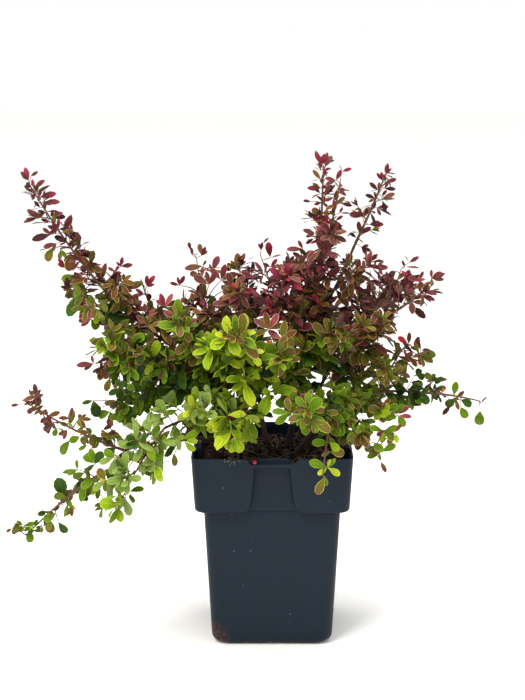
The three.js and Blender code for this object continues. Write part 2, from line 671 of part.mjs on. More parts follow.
// A leaf pointing along +X from its root at 0: flat below, with a low ridge along its upper side, and
// widest past its middle
function leafGeometry(length) {
  const belly = LEAF_BELLY * length;
  const half = (LEAF_WIDTH * length) / 2;
  const corners = [
    [0, 0, 0],
    [belly, -half, 0],
    [length, 0, 0],
    [belly, half, 0],
    [LEAF_RIDGE * length, 0, LEAF_THICKNESS * length],
  ];
  const leaf = new THREE.BufferGeometry();
  leaf.setFromPoints(corners.map((corner) => new THREE.Vector3(...corner)));
  leaf.setIndex([0, 3, 1, 1, 3, 2, 0, 1, 4, 1, 2, 4, 2, 3, 4, 3, 0, 4]);
  return leaf;
}

// Turns a leaf so that it points along a direction and its blade faces as near as it can to a normal
function placeLeaf(root, pointing, facing, length) {
  const across = facing.clone().cross(pointing).normalize();
  const normal = pointing.clone().cross(across).normalize();
  const frame = new THREE.Matrix4().makeBasis(pointing, across, normal);
  frame.setPosition(root);
  const at = (along, wide) =>
    root
      .clone()
      .addScaledVector(pointing, along * length)
      .addScaledVector(across, (wide * length * LEAF_WIDTH) / 2);
  return {
    root,
    length,
    geometry: leafGeometry(length).applyMatrix4(frame),
    middle: at(LEAF_BELLY, 0),
    outline: OUTLINE.map(([along, wide]) => at(along, wide)),
    blade: [
      new THREE.Triangle(root, at(LEAF_BELLY, -1), at(1, 0)),
      new THREE.Triangle(root, at(1, 0), at(LEAF_BELLY, 1)),
    ],
    edges: EDGES.map(([from, to]) => new THREE.Line3(at(...OUTLINE[from]), at(...OUTLINE[to]))),
  };
}

// Whether a straight piece of twig or leaf edge goes through a leaf's blade
function pierces(line, blade) {
  const ray = new THREE.Ray(line.start, line.delta(new THREE.Vector3()).normalize());
  const hit = new THREE.Vector3();
  return blade.some((half) => {
    const found = ray.intersectTriangle(half.a, half.b, half.c, false, hit);
    return found !== null && hit.distanceTo(line.start) < line.distance();
  });
}

function leavesCross(leaf, other) {
  return (
    leaf.edges.some((edge) => pierces(edge, other.blade)) ||
    other.edges.some((edge) => pierces(edge, leaf.blade))
  );
}

// Whether a twig that the leaf doesn't grow on goes through its blade
function twigCrosses(leaf, twig) {
  const nearest = twig.closestPointToPoint(leaf.root, true, new THREE.Vector3());
  return nearest.distanceTo(leaf.root) > STEM_RADIUS && pierces(twig, leaf.blade);
}

// A direction that leans from a stem by an angle. It leaves through the middle of one of the stem's
// faces, give or take a little.
function leanFrom(stem, at, angle, face, dice) {
  const line = stem.getTangent(at);
  const { side, top } = squareTo(line, chordOf(stem));
  const turn = (face + 0.5) * FACE_TURN + dice.between(-TURN_JITTER, TURN_JITTER);
  const out = side.multiplyScalar(Math.cos(turn)).addScaledVector(top, Math.sin(turn));
  return line.clone().multiplyScalar(Math.cos(angle)).addScaledVector(out, Math.sin(angle));
}

// The seeded rule: side twigs climb the mass's stem, each through its next face, and shorten towards
// its tip
function sideTwigs(mass, dice, spaces) {
  const twigs = [];
  for (let i = 0; i < mass.twigs; i += 1) {
    const step = mass.twigs > 1 ? i / (mass.twigs - 1) : 0.5;
    const strays = dice.between(-TWIG_STRAYS, TWIG_STRAYS);
    const at = THREE.MathUtils.lerp(FIRST_TWIG_AT, LAST_TWIG_AT, step) + strays;
    const angle = TWIG_ANGLE * dice.between(...TWIG_VARIES);
    const length = mass.spread * (1 - TWIG_SHORTENS * at) * dice.between(...TWIG_VARIES);
    const start = mass.line.getPoint(at);
    const way = leanFrom(mass.line, at, angle, i, dice);
    way.z += TWIG_TURNS_UP;
    const tip = start.clone().addScaledVector(way, length);
    const reach = freeReach(mass, new THREE.LineCurve3(start, tip), spaces);
    if (reach * length > SHORTEST_TWIG) {
      twigs.push({ at, line: new THREE.LineCurve3(start, start.clone().lerp(tip, reach)) });
    }
  }
  return twigs;
}

// How much of a twig stays in its own space and clear of the limbs, past the part next to its root
function freeReach(mass, twig, spaces) {
  for (let i = 2; i <= REACH_TESTS; i += 1) {
    if (!spaces.free(mass.name, [twig.getPoint(i / REACH_TESTS)], TWIG_RADIUS)) {
      return (i - 1) / REACH_TESTS;
    }
  }
  return 1;
}

// A mass's stem as the straight pieces that its tube is made of, so that roots lie inside the tube
class StraightPieces {
  constructor(curve, steps) {
    this.points = Array.from({ length: steps + 1 }, (_, step) => curve.getPoint(step / steps));
  }

  pieceAt(at) {
    const steps = this.points.length - 1;
    const piece = Math.min(steps - 1, Math.floor(at * steps));
    return { start: this.points[piece], end: this.points[piece + 1], share: at * steps - piece };
  }

  getPoint(at) {
    const { start, end, share } = this.pieceAt(at);
    return start.clone().lerp(end, share);
  }

  getTangent(at) {
    const { start, end } = this.pieceAt(at);
    return end.clone().sub(start).normalize();
  }

  pieces() {
    return this.points.slice(1).map((point, i) => new THREE.Line3(this.points[i], point));
  }
}

// The way a leaf faces: outwards from the middle of the shrub and up, a little differently for each
function facingAt(root, dice) {
  const outwards = root.clone().sub(HEART).normalize();
  const strays = new THREE.Vector3(dice.between(-1, 1), dice.between(-1, 1), dice.between(-1, 1));
  return outwards.addScaledVector(UP, FACES_UP).addScaledVector(strays, FACES_ASTRAY).normalize();
}

// Whether a leaf keeps to the mass's space and clear of its other leaves and twigs
function leafFits(leaf, mass, spaces, growth) {
  const { leaves, twigs } = growth;
  return (
    leaves.every((other) => other.middle.distanceTo(leaf.middle) > CROWDED * leaf.length) &&
    spaces.free(mass.name, leaf.outline, 0) &&
    !spaces.limbPieces.some((piece) => pierces(piece, leaf.blade)) &&
    !leaves.some((other) => leavesCross(leaf, other)) &&
    !twigs.some((twig) => twigCrosses(leaf, twig))
  );
}

// Leaves stand round a twig in small rosettes. One that doesn't fit is tried smaller, then skipped.
function addRosette(mass, twig, at, size, dice, spaces, growth) {
  const root = twig.getPoint(at);
  const firstFace = Math.floor(dice.between(0, TWIG_SIDES));
  for (let i = 0; i < ROSETTE_LEAVES; i += 1) {
    const angle = LEAF_ANGLE * dice.between(...LEAF_TURNS);
    const pointing = leanFrom(twig, at, angle, firstFace + i, dice).normalize();
    const facing = facingAt(root, dice);
    const length = size * dice.between(...LEAF_SIZES);
    const tries = LEAF_TRIES.map((share) => placeLeaf(root, pointing, facing, share * length));
    const leaf = tries.find((one) => leafFits(one, mass, spaces, growth));
    if (leaf) {
      growth.leaves.push(leaf);
    }
  }
}

// One mass: its stem, side twigs and leaves fused into one body
function massSolid(mass, spaces) {
  const dice = new Dice(mass.seed);
  const stemTube = tube(mass.curve, mass.radius, TWIG_SIDES, STEM_STEPS, mass.startFacing);
  const pieces = [solidOf(stemTube)];
  const sizeAt = (at) => mass.leaf * (1 - LEAVES_SHRINK * at);
  const sides = sideTwigs(mass, dice, spaces);
  const sidePieces = sides.map((twig) => new THREE.Line3(twig.line.v1, twig.line.v2));
  const growth = { leaves: [], twigs: [...mass.line.pieces(), ...sidePieces] };
  for (const twig of sides) {
    pieces.push(solidOf(tube(twig.line, taper(TWIG_RADIUS, TWIG_TIP_RADIUS), TWIG_SIDES, 1)));
    for (const at of TWIG_ROSETTES) {
      addRosette(mass, twig.line, at, sizeAt(twig.at), dice, spaces, growth);
    }
  }
  for (let i = 0; i < STEM_ROSETTES; i += 1) {
    const at = (i + 0.5) / STEM_ROSETTES;
    addRosette(mass, mass.line, at, sizeAt(at), dice, spaces, growth);
  }
  pieces.push(...growth.leaves.map((leaf) => solidOf(leaf.geometry)));
  return clearOfParent(pieces.reduce((whole, piece) => whole.add(piece)), mass.parent);
}

// Masses with the curves of their stems, so that each can be told from its neighbours
function planMasses(limbs) {
  return MASSES.map((spec) => {
    const parent = limbs.get(spec.on);
    const growth = curveFrom(parent, spec);
    return {
      ...spec,
      ...growth,
      line: new StraightPieces(growth.curve, STEM_STEPS),
      parent,
      radius: taper(STEM_RADIUS, STEM_TIP_RADIUS),
    };
  });
}

const plant = new THREE.Group();
plant.add(meshOf("pot", potSolid(), POT_LOOK));
plant.add(meshOf("soil", soilSolid(), SOIL_LOOK));

const limbs = growLimbs();
for (const limb of limbs.values()) {
  plant.add(meshOf(limb.name, limb.solid, limb.look));
}

const masses = planMasses(limbs);
const spaces = new Spaces([...limbs.values()], masses);
for (const mass of masses) {
  const look = { color: LEAF_COLOURS[mass.tint], roughness: 0.6, metalness: 0 };
  plant.add(meshOf("leaves_" + mass.name, massSolid(mass, spaces), look));
}

export default plant;
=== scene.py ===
"""A potted japanese barberry, dressed for the picture: pot, potting bark, limbs, twigs and leaves.

The tables and the growing rule are those of the solids, in millimetres, so that each twig lies where
its solid does. From there the twigs go on to finer ones and to leaves of their real size. The meshes
are in metres, +Z up, with the origin under the middle of the pot; -Y is the front.
"""

import math

import bmesh
import bpy
import numpy as np
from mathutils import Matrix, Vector


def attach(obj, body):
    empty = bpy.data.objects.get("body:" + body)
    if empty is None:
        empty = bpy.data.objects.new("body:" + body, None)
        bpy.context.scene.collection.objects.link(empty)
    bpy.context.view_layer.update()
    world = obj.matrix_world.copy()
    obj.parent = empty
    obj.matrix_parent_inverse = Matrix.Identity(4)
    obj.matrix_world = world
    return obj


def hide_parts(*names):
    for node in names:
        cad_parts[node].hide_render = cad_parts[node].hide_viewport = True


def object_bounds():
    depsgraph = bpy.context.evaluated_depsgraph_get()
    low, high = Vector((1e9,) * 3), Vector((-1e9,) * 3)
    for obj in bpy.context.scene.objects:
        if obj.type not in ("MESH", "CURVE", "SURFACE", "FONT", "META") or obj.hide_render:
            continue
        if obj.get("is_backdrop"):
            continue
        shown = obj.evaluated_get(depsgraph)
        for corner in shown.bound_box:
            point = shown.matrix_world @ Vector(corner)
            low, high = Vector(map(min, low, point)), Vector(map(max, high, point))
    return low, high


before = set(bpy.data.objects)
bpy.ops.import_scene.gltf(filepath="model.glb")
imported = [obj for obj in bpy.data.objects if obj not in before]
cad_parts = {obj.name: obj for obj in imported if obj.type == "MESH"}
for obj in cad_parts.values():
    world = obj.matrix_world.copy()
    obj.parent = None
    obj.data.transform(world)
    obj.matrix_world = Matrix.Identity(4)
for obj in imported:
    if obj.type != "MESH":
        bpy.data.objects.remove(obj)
cad_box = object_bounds()

MM = 0.001
UP = np.array([0.0, 0.0, 1.0])
BACK = np.array([0.0, 1.0, 0.0])
GOLDEN_TURN = math.radians(137.5)

# Pot, in millimetres
POT_WIDTH = 160
POT_HEIGHT = 200
WALL = 1.6
FLOOR = 6
COLLAR_FOOT = 143
COLLAR_FOOT_WIDTH = 153.4
COLLAR_EDGE = 3
BODY_TOP_WIDTH = 136.2
BODY_FOOT_WIDTH = 121
FOOT_FILLET = 9
RIM_CORNER = 9
FOOT_CORNER = 15
POCKET_HALF_WIDTH = 18
POCKET_FLARE = 23
POCKET_DEPTH = 6.5
POCKET_SILL = 1.5
KNEE = 9
NOTCH_DEPTH = 5.6
NOTCH_HALF_WIDTH = 28.5
PANEL_BELOW_RIM = 1
BAR_HEIGHT = 4
CHANNEL_HALF_WIDTH = 10
CHANNEL_DEPTH = 3.2
CHANNEL_END = 27
DRAIN_RADIUS = 5
LIP = 0.7
SLOT_WIDTH = 1.1
SLOT_DEPTH = 1.0
SLOT_TOP = 0.95
BAR_HALF_LENGTH = POCKET_HALF_WIDTH + 0.6
BAR_SIDES = 16
DRAIN_SIDES = 20

# Soil
SOIL_EDGE = 184
SOIL_TOP = 189
SOIL_PLATEAU = 48
SOIL_REACH = 73
BEHIND_POCKET = 65
GAP = 0.3

# On the soil: how many crumbs and chips of bark, how wide they are and how the chips' colours are shared
# out, and how many lying roots, hanging roots and dead twigs
CRUMBS = 2100
CRUMB_SIZES = (0.8, 2.0)
CHIPS = 620
CHIP_SIZES = (2.2, 5.2)
CHIP_SHARES = (0.46, 0.26, 0.18, 0.1)
CHIPS_REACH = 74
UNEVEN = 0.28
ROOTS = 150
TUFT = 26
TUFT_PLACE = (-38, -75, 197.5)
DEAD_TWIGS = 16
ROOT_STEPS = 7

# Stems: foot x, y; tip x, y, z; lift of the curve's control point; radius at foot and tip
STEMS = {
    "stem_left": ((-14, -4), (-62, -14, 272), 12, (2.3, 1.6)),
    "stem_tall": ((16, 6), (44, 6, 330), -6, (2.7, 1.8)),
    "stem_right": ((34, -6), (88, -4, 292), 10, (2.3, 1.6)),
    "stem_front": ((0, -24), (-22, -62, 262), 8, (2.1, 1.5)),
    "stem_rear": ((-6, 22), (-22, 64, 272), 10, (2.1, 1.5)),
    "stem_rear_right": ((26, 26), (66, 62, 268), 10, (2.1, 1.5)),
    "stem_low_left": ((-30, -20), (-92, -56, 212), 16, (2, 1.5)),
    "stem_front_right": ((24, -24), (60, -66, 248), 8, (2.1, 1.5)),
}
STEM_FLARE = 1.3
FLARE_HEIGHT = 0.09

# Boughs: parent; how far along it, 1 being its tip; tip; lift; radius at root and tip
BOUGHS = {
    "bough_left_arch": ("stem_left", 1, (-150, -16, 338), -4, (1.6, 1.4)),
    "bough_left_rear": ("stem_left", 0.66, (-98, 24, 256), 2, (1.5, 1.3)),
    "bough_left_low": ("stem_low_left", 0.76, (-148, -32, 196), 4, (1.5, 1.3)),
    "bough_left_trail": ("stem_low_left", 1, (-168, -74, 184), 4, (1.5, 1.3)),
    "bough_pale": ("stem_front", 0.62, (-104, -98, 236), 16, (1.5, 1.3)),
    "bough_tall": ("stem_tall", 1, (48, 8, 385), 0, (1.8, 1.4)),
    "bough_tall_right": ("stem_tall", 0.9, (84, 26, 396), -10, (1.6, 1.3)),
    "bough_right": ("stem_right", 1, (122, 2, 330), 0, (1.6, 1.3)),
    "bough_right_low": ("stem_right", 0.42, (150, 8, 246), 12, (1.5, 1.3)),
    "bough_rear_right": ("stem_rear_right", 1, (94, 84, 296), 2, (1.5, 1.3)),
}

# Masses of foliage: limb; how far along it; tip; lift; length of side twigs; how many; the solids'
# leaf length; main tint; seed
MASSES = {
    "arch_tip": ("bough_left_arch", 1, (-238, -20, 462), -16, 24, 6, 28, "wine", 1),
    "arch_outer": ("bough_left_arch", 0.86, (-204, -36, 348), 6, 34, 3, 34, "bronze", 2),
    "arch_inner": ("bough_left_arch", 0.5, (-134, -2, 374), -10, 30, 2, 28, "wine", 3),
    "left_fore": ("stem_left", 0.8, (-168, -58, 308), 4, 36, 4, 38, "green", 4),
    "left_front": ("stem_left", 0.62, (-92, -66, 338), -6, 34, 3, 38, "green", 5),
    "left_rear": ("bough_left_rear", 1, (-182, 40, 270), 6, 34, 3, 36, "dark", 6),
    "left_under": ("bough_left_rear", 0.55, (-152, -6, 236), 8, 32, 3, 36, "dark", 7),
    "left_long_twig": ("bough_left_low", 1, (-244, -30, 244), -8, 20, 4, 27, "green", 8),
    "left_trail_tip": ("bough_left_trail", 1, (-246, -54, 114), 8, 18, 4, 28, "green", 41),
    "pale_spray": ("bough_pale", 1, (-150, -122, 160), 12, 34, 4, 34, "pale", 10),
    "pale_inner": ("bough_pale", 0.55, (-98, -96, 204), 14, 30, 3, 34, "bright", 11),
    "front_high": ("stem_front", 1, (-38, -88, 326), -4, 40, 3, 40, "bright", 12),
    "front_low": ("stem_front", 0.84, (-44, -112, 220), 16, 34, 3, 38, "bright", 13),
    "front_mid": ("stem_tall", 0.36, (4, -74, 306), 2, 36, 3, 38, "green", 14),
    "centre_right": ("stem_tall", 0.5, (58, -44, 322), 0, 38, 3, 40, "green", 15),
    "front_right": ("stem_front_right", 0.8, (34, -110, 256), 6, 32, 3, 36, "green", 16),
    "front_droop": ("stem_front_right", 1, (48, -112, 186), 26, 16, 2, 30, "bright", 17),
    "upper_front": ("stem_tall", 0.66, (10, -46, 372), -4, 36, 3, 38, "bronze", 18),
    "upper_left": ("stem_left", 0.92, (-76, 12, 384), -6, 34, 3, 34, "wine", 19),
    "upper_left_fore": ("stem_left", 0.86, (-38, -34, 356), 0, 40, 3, 38, "bronze", 20),
    "upper_mid": ("stem_tall", 0.6, (-12, 24, 386), -6, 36, 3, 34, "wine", 21),
    "upper_mid_rear": ("stem_rear", 0.88, (-38, 62, 362), 0, 38, 3, 38, "wine", 44),
    "tall_shoot": ("bough_tall", 1, (51, 10, 477), 0, 20, 4, 26, "wine", 23),
    "tall_twin": ("bough_tall", 0.6, (67, -4, 462), -10, 20, 3, 26, "wine", 42),
    "tall_right_tip": ("bough_tall_right", 1, (114, 30, 466), -4, 20, 4, 26, "wine", 25),
    "crown_left": ("stem_tall", 0.86, (26, 4, 412), 0, 34, 3, 36, "wine", 26),
    "crown_front": ("stem_tall", 0.92, (52, -34, 416), -4, 34, 3, 36, "wine", 27),
    "crown_right": ("bough_tall_right", 0.5, (92, -18, 380), -2, 32, 3, 34, "wine", 28),
    "right_tip": ("bough_right", 1, (162, 0, 360), -2, 30, 3, 30, "wine", 29),
    "right_tip_rear": ("bough_right", 0.55, (132, 40, 368), -4, 34, 3, 34, "wine", 30),
    "right_fore": ("stem_right", 0.92, (114, -52, 332), 0, 38, 3, 38, "bronze", 31),
    "right_mid": ("stem_right", 0.74, (142, -46, 276), 4, 34, 3, 34, "bronze", 32),
    "right_inner": ("stem_right", 0.56, (104, -30, 244), 4, 34, 3, 36, "green", 33),
    "right_low": ("stem_front_right", 0.7, (106, -78, 198), 26, 32, 3, 36, "green", 34),
    "right_long_twig": ("bough_right_low", 1, (214, 10, 236), 4, 20, 3, 28, "dark", 35),
    "right_rear": ("bough_right_low", 0.55, (140, 58, 286), 6, 38, 3, 38, "green", 36),
    "rear_mid": ("stem_rear", 1, (-26, 134, 336), 2, 42, 4, 40, "wine", 37),
    "rear_left": ("stem_rear", 0.7, (-108, 104, 302), 6, 42, 3, 40, "bronze", 38),
    "rear_right": ("bough_rear_right", 1, (122, 112, 338), 2, 42, 3, 40, "wine", 39),
    "rear_inner": ("stem_rear_right", 0.9, (44, 112, 326), 4, 42, 3, 40, "bronze", 40),
}

# The solids' rule for side twigs
STEM_STEPS = 4
CURVE_SAMPLES = 8
FACE_TURN = 2 * math.pi / 3
TURN_JITTER = 0.3
FIRST_TWIG_AT = 0.1
LAST_TWIG_AT = 0.92
TWIG_STRAYS = 0.03
TWIG_ANGLE = math.radians(58)
TWIG_SHORTENS = 0.5
TWIG_TURNS_UP = 0.2
TWIG_RADIUS = 0.62
SHORTEST_TWIG = 9
REACH_TESTS = 8
CLEAR = 0.9
CLEAR_OF_POT = 4
STEEP_SHARE = 0.8

# Finer growth: fine twigs off the stem and side twigs of each mass, and short spurs with rosettes
STEM_RADIUS = (1.3, 0.5)
CANE_RADIUS = (1.6, 0.7)
SIDE_RADIUS = (0.75, 0.4)
FINE_RADIUS = (0.5, 0.32)
SPUR_RADIUS = (0.4, 0.3)
FINE_SPACING = 10.5
SPUR_SPACING = 6.0
CANE_SPACING = 5.6
BOUGH_SPACING = 5.5
BOUGH_TWIG_SPACING = 11.0
BOUGH_TWIG_LENGTHS = (16, 34)
FINE_LENGTHS = (0.3, 0.72)
BARE_SHARE = {"stem": 0.62, "bough": 0.12}
FINE_LEAN = (38, 68)
SPUR_LEAN = (50, 72)
SPUR_LENGTHS = (2.0, 7.0)
SHORTEST_SPUR = 3
CANE_SPUR = 0.5
SHORTEST_FINE = 5
SPURRED_FROM = 10
FINE_BOWS = 0.06
SIDE_BOWS = 0.05
SIDE_SHARE = 0.75
SIDE_TIPS_AT = 0.85
BOUGH_LEAVES_AT = 0.15
SPINE_LENGTHS = (3.0, 6.0)
SPINE_EVERY = 7
CANE_LEAF = 30
LEAF_LIFE = {"wine": 0.54, "bronze": 0.56, "green": 0.6, "bright": 0.66, "pale": 0.66, "dark": 0.6}
CANE_LEAF_LIFE = 0.66
TIP_LEAF = 0.76
CANE_TIP_LEAF = 0.62
# How far a rosette opens: on a spur, at a twig's tip and at a cane's tip
SPUR_OPENS = 0.95
TIP_OPENS = 0.74
CANE_TIP_OPENS = 0.4
# Masses with fewer sprays than the rest, and by how much their spacing is wider
SPARSE = {
    "arch_tip": 1.45, "left_long_twig": 3.2, "left_trail_tip": 3.2, "front_droop": 4, "right_long_twig": 3.2,
    "right_rear": 1.7, "tall_shoot": 2.0, "tall_twin": 2.2, "tall_right_tip": 4.5, "crown_left": 1.2,
    "right_tip": 1.7, "right_tip_rear": 1.5, "upper_left": 1.2, "upper_mid": 1.3, "upper_mid_rear": 1.3,
    "arch_inner": 1.5, "crown_right": 1.2, "right_mid": 1.3, "pale_inner": 2.2, "pale_spray": 1.45,
    "front_low": 1.15, "right_low": 1.15, "right_inner": 1.2,
}
# Masses whose sprays end short of their stem's tip, and how far along it
SPRAYS_END = {
    "crown_left": 0.74, "upper_mid_rear": 0.3, "upper_mid": 0.84, "upper_left": 0.84, "right_rear": 0.62,
    "right_mid": 0.72, "pale_inner": 0.4, "arch_outer": 0.7, "right_tip": 0.7, "right_tip_rear": 0.84,
    "left_rear": 0.9, "right_fore": 0.8, "arch_inner": 0.8, "front_droop": 0.3, "right_long_twig": 0.4,
    "front_low": 0.8, "right_low": 0.86,
}
